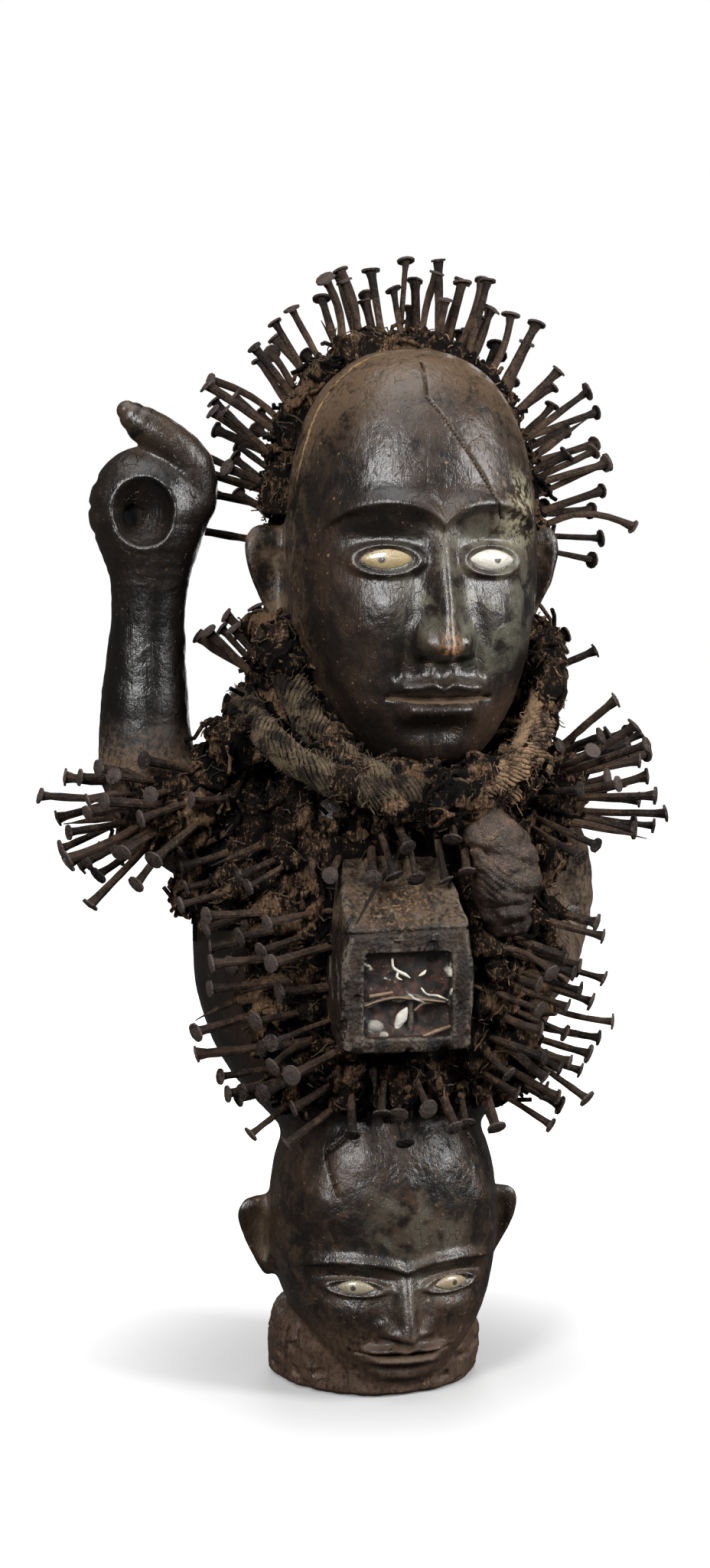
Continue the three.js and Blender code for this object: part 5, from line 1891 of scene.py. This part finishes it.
class FigureColours(bpy.types.PropertyGroup):
    patina: colour_setting("Patina", "Dark face of the handled wood", (0.0074, 0.0058, 0.0048))
    brown: colour_setting("Brown wood", "Wood where the patina is thin", (0.036, 0.0205, 0.012))
    dust: colour_setting("Dust", "Dust in the hollows of the wood", (0.098, 0.062, 0.036))
    # Near black: the crust's dark base and the painted shade in its hollows.
    deep: colour_setting("Crust hollows", "Crust in its hollows", (0.0016, 0.001, 0.0007))
    earth: colour_setting("Crust", "Crust on its open faces", (0.013, 0.0076, 0.0044))
    # Pale crumbs and a painted highlight on the crests; dimmed, the tan cloth.
    crest: colour_setting("Crust crests", "Crust on its highest crumbs", (0.24, 0.145, 0.082))
    # Also the painted shade on the rope under the chin.
    soiled: colour_setting("Soiled rope", "Rope under soot and resin", (0.009, 0.0056, 0.0034))
    fibre: colour_setting("Rope", "Bare fibre of the rope", (0.25, 0.16, 0.092))
    iron: colour_setting("Iron", "Dark forged iron", (0.0075, 0.0054, 0.0044))
    rust: colour_setting("Rust", "Dry rust", (0.027, 0.016, 0.0105))
    worn_head: colour_setting("Hammered iron", "Faces of the nail heads", (0.066, 0.05, 0.044))
    hide_dark: colour_setting("Dark hide", "Hide under soot", (0.009, 0.0056, 0.0037))
    hide_tan: colour_setting("Tan hide", "Hide where it is rubbed", (0.066, 0.037, 0.021))
    box_dark: colour_setting("Dark box", "Wax and soot on the box", (0.0055, 0.0042, 0.0034))
    box_brown: colour_setting("Brown box", "Handled wood of the box", (0.027, 0.0165, 0.0102))
    box_dust: colour_setting("Box dust", "Dust on the box's roof", (0.1, 0.067, 0.041))


def sizes():
    return bpy.context.scene.figure_sizes


def colours():
    return bpy.context.scene.figure_colours


def material_of(name, maker, *values):
    """A material that is made once and shared."""
    return bpy.data.materials.get(name) or maker(*values)


def settle_on_root(piece, slot, *nodes):
    """Hands a finished piece over to the frame."""
    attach(piece, "root")
    if nodes:
        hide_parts(*nodes)


# Operators, one for each piece or group of like pieces


class FIGURE_OT_carving(bpy.types.Operator):
    """Carves the plinth, the two heads, the body and the arms from one block of wood"""

    bl_idname = "figure.carving"
    bl_label = "Carved figure"

    def execute(self, context):
        piece = make_carving("carving", material_of("carved wood", carved_wood, colours()))
        settle_on_root(piece, "wood", "carved_figure")
        return {"FINISHED"}


class FIGURE_OT_crust(bpy.types.Operator):
    """Grows the resin crust on the body and the skull, with the fibres that stick out of it"""

    bl_idname = "figure.crust"
    bl_label = "Resin crust"

    def execute(self, context):
        look = sizes()
        resin = material_of("resin crust", resin_crust, colours())
        fibre = material_of("plant fibre", plant_fibre, colours())
        mantle = make_mantle("mantle", resin, look.crust_roughness)
        settle_on_root(mantle, "resin", "body_resin")
        cap = make_cap("skull_cap", resin, look.crust_roughness)
        settle_on_root(cap, "resin", "head_resin")
        for name, skin, share, length, width, material, seed in (
            ("mantle_fibres", mantle, 1, look.thread_length, look.thread_width, fibre, 3),
            ("mantle_cords", mantle, 0.3, look.cord_length, look.cord_width, resin, 4),
            ("cap_fibres", cap, 1.5, look.thread_length, look.thread_width, fibre, 7),
            ("cap_cords", cap, 0.4, look.cord_length, look.cord_width, resin, 8),
        ):
            threads = make_threads(name, skin, look.thread_density * share, length, width, material, seed)
            settle_on_root(threads, "fibre")
        return {"FINISHED"}


class FIGURE_OT_rolls(bpy.types.Operator):
    """Winds the fibre rolls under the jaw and across the chest"""

    bl_idname = "figure.rolls"
    bl_label = "Fibre rolls"

    def execute(self, context):
        look = sizes()
        fibre = material_of("plant fibre", plant_fibre, colours())
        jaw = make_rope("jaw_rope", JAW_ROLL, JAW_ROLL_RADIUS, fibre, look)
        settle_on_root(jaw, "fibre", "jaw_roll")
        chest = make_rope("chest_rope", CHEST_ROLL, CHEST_ROLL_RADIUS, fibre, look)
        settle_on_root(chest, "fibre", "chest_roll")
        for name, rope, seed in (("jaw_fuzz", jaw, 11), ("chest_fuzz", chest, 12)):
            mark(rope, "bare", np.ones(len(rope.data.vertices)))
            length, width = look.thread_length * 0.8, look.thread_width * 0.6
            fuzz = make_threads(name, rope, look.thread_density * 3, length, width, fibre, seed)
            settle_on_root(fuzz, "fibre")
        return {"FINISHED"}


class FIGURE_OT_bundle(bpy.types.Operator):
    """Ties the hide bundle at the left of the chest"""

    bl_idname = "figure.bundle"
    bl_label = "Hide bundle"

    def execute(self, context):
        hide = material_of("dried hide", dried_hide, colours())
        low, high = (32, -150, 338), (104, -80, 450)
        piece = grown_skin("bundle", bundle_field, low, high, FINE_STEP, MOST_BUNDLE, hide)
        mark_hollows(piece, bundle_field, 4)
        settle_on_root(piece, "hide", "hide_bundle")
        return {"FINISHED"}


class FIGURE_OT_box(bpy.types.Operator):
    """Makes the medicine box, what shows in its window, and its old glass"""

    bl_idname = "figure.box"
    bl_label = "Medicine box"

    def execute(self, context):
        wood = material_of("box wood", box_wood, colours())
        low = [BOX_FRONT[0] - 50, BOX_FRONT[1] - 3, BOX_FRONT[2] - 48]
        high = [BOX_FRONT[0] + 50, BOX_FRONT[1] + 73, BOX_FRONT[2] + BOX_SIZE[2] / 2 + BOX_ROOF_RISE + 4]
        box = grown_skin("medicine_chest", box_field, low, high, BOX_STEP, MOST_BOX, wood)
        mark_hollows(box, box_field, 5)
        lean = in_chunks(box_field, places_of(box) - slopes(box_field, places_of(box)) * 3)
        mark(box, "edge", rise(-2.6, -1.4, lean))
        settle_on_root(box, "wood", "medicine_box")
        earth = material_of("packed earth", packed_earth)
        low = [BOX_FRONT[0] - 36, BOX_FRONT[1] + 3, BOX_FRONT[2] - 40]
        high = [BOX_FRONT[0] + 36, BOX_FRONT[1] + 28, BOX_FRONT[2] + 34]
        contents = grown_skin("box_contents", contents_field, low, high, FINE_STEP, MOST_CONTENTS, earth)
        points = places_of(contents) - np.array(BOX_FRONT)
        pale = shells_field(points[:, 0], points[:, 2] + WINDOW[2], points[:, 1])
        mark(contents, "pale", rise(0.8, 0.1, pale) * (1 - 0.6 * (points[:, 0] < -14)))
        settle_on_root(contents, "resin")
        for name, lines, shade in (
            # Pale slivers in the window: painted glints of light on broken glass.
            ("window_splinters", WINDOW_GLASS_GLINTS, (0.62, 0.57, 0.48)),
            ("window_twigs", WINDOW_TWIGS, (0.16, 0.1, 0.06)),
        ):
            settle_on_root(make_sticks(name, lines, material_of(name, bare_stick, name, shade)), "wood")
        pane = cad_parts["box_glass"]
        pane.data.materials.clear()
        pane.data.materials.append(material_of("old glass", old_glass))
        return {"FINISHED"}


class FIGURE_OT_eyes(bpy.types.Operator):
    """Sets the four glazed eyes into the two heads"""

    bl_idname = "figure.eyes"
    bl_label = "Inlaid eyes"

    def execute(self, context):
        for node, head, side, white in (
            ("upper_right_eye", UPPER_HEAD, -1, (0.27, 0.21, 0.11)),
            ("upper_left_eye", UPPER_HEAD, 1, (0.42, 0.4, 0.35)),
            ("lower_right_eye", LOWER_HEAD, -1, (0.25, 0.22, 0.155)),
            ("lower_left_eye", LOWER_HEAD, 1, (0.25, 0.2, 0.13)),
        ):
            low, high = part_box(node)
            centre = [(a + b) / 2 / MM for a, b in zip(low, high)]
            glaze = inlaid_eye(centre, head["eye"][1] * EYE_PUPIL, white)
            settle_on_root(make_eye(node.replace("eye", "lens"), head, side, glaze), "eye", node)
        return {"FINISHED"}


class FIGURE_OT_nails(bpy.types.Operator):
    """Drives the iron nails into the crust"""

    bl_idname = "figure.nails"
    bl_label = "Iron nails"

    def execute(self, context):
        iron = material_of("forged iron", forged_iron, colours())
        piece = make_nails("nails", NAILS, iron, sizes())
        nodes = [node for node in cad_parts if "_nail_" in node]
        settle_on_root(piece, "iron", *nodes)
        settle_on_root(make_sticks("roof_spike", ROOF_SPIKE, iron), "iron")
        return {"FINISHED"}


class FIGURE_OT_stage(bpy.types.Operator):
    """Lays the floor and sets the lights and the camera"""

    bl_idname = "figure.stage"
    bl_label = "Stage"

    def execute(self, context):
        make_floor()
        make_surroundings()
        for name, light in LIGHTS.items():
            add_light(name, *light)
        make_camera()
        return {"FINISHED"}


STEPS = (
    FIGURE_OT_stage,
    FIGURE_OT_carving,
    FIGURE_OT_crust,
    FIGURE_OT_rolls,
    FIGURE_OT_bundle,
    FIGURE_OT_box,
    FIGURE_OT_eyes,
    FIGURE_OT_nails,
)


class FIGURE_PT_steps(bpy.types.Panel):
    """Lists the settings and the steps that make the figure"""

    bl_idname = "FIGURE_PT_steps"
    bl_label = "Nail-studded figure"
    bl_space_type = "VIEW_3D"
    bl_region_type = "UI"
    bl_category = "Figure"

    def draw(self, context):
        for group in (context.scene.figure_sizes, context.scene.figure_colours):
            column = self.layout.column()
            for name in group.__annotations__:
                column.prop(group, name)
        for step in STEPS:
            self.layout.operator(step.bl_idname)


CLASSES = (FigureSizes, FigureColours, *STEPS, FIGURE_PT_steps)


def register():
    for kind in CLASSES:
        bpy.utils.register_class(kind)
    bpy.types.Scene.figure_sizes = bpy.props.PointerProperty(type=FigureSizes)
    bpy.types.Scene.figure_colours = bpy.props.PointerProperty(type=FigureColours)


def unregister():
    del bpy.types.Scene.figure_colours
    del bpy.types.Scene.figure_sizes
    for kind in reversed(CLASSES):
        bpy.utils.unregister_class(kind)


def main():
    register()
    for step in STEPS:
        group, name = step.bl_idname.split(".")
        getattr(getattr(bpy.ops, group), name)()


if __name__ == "__main__":
    main()
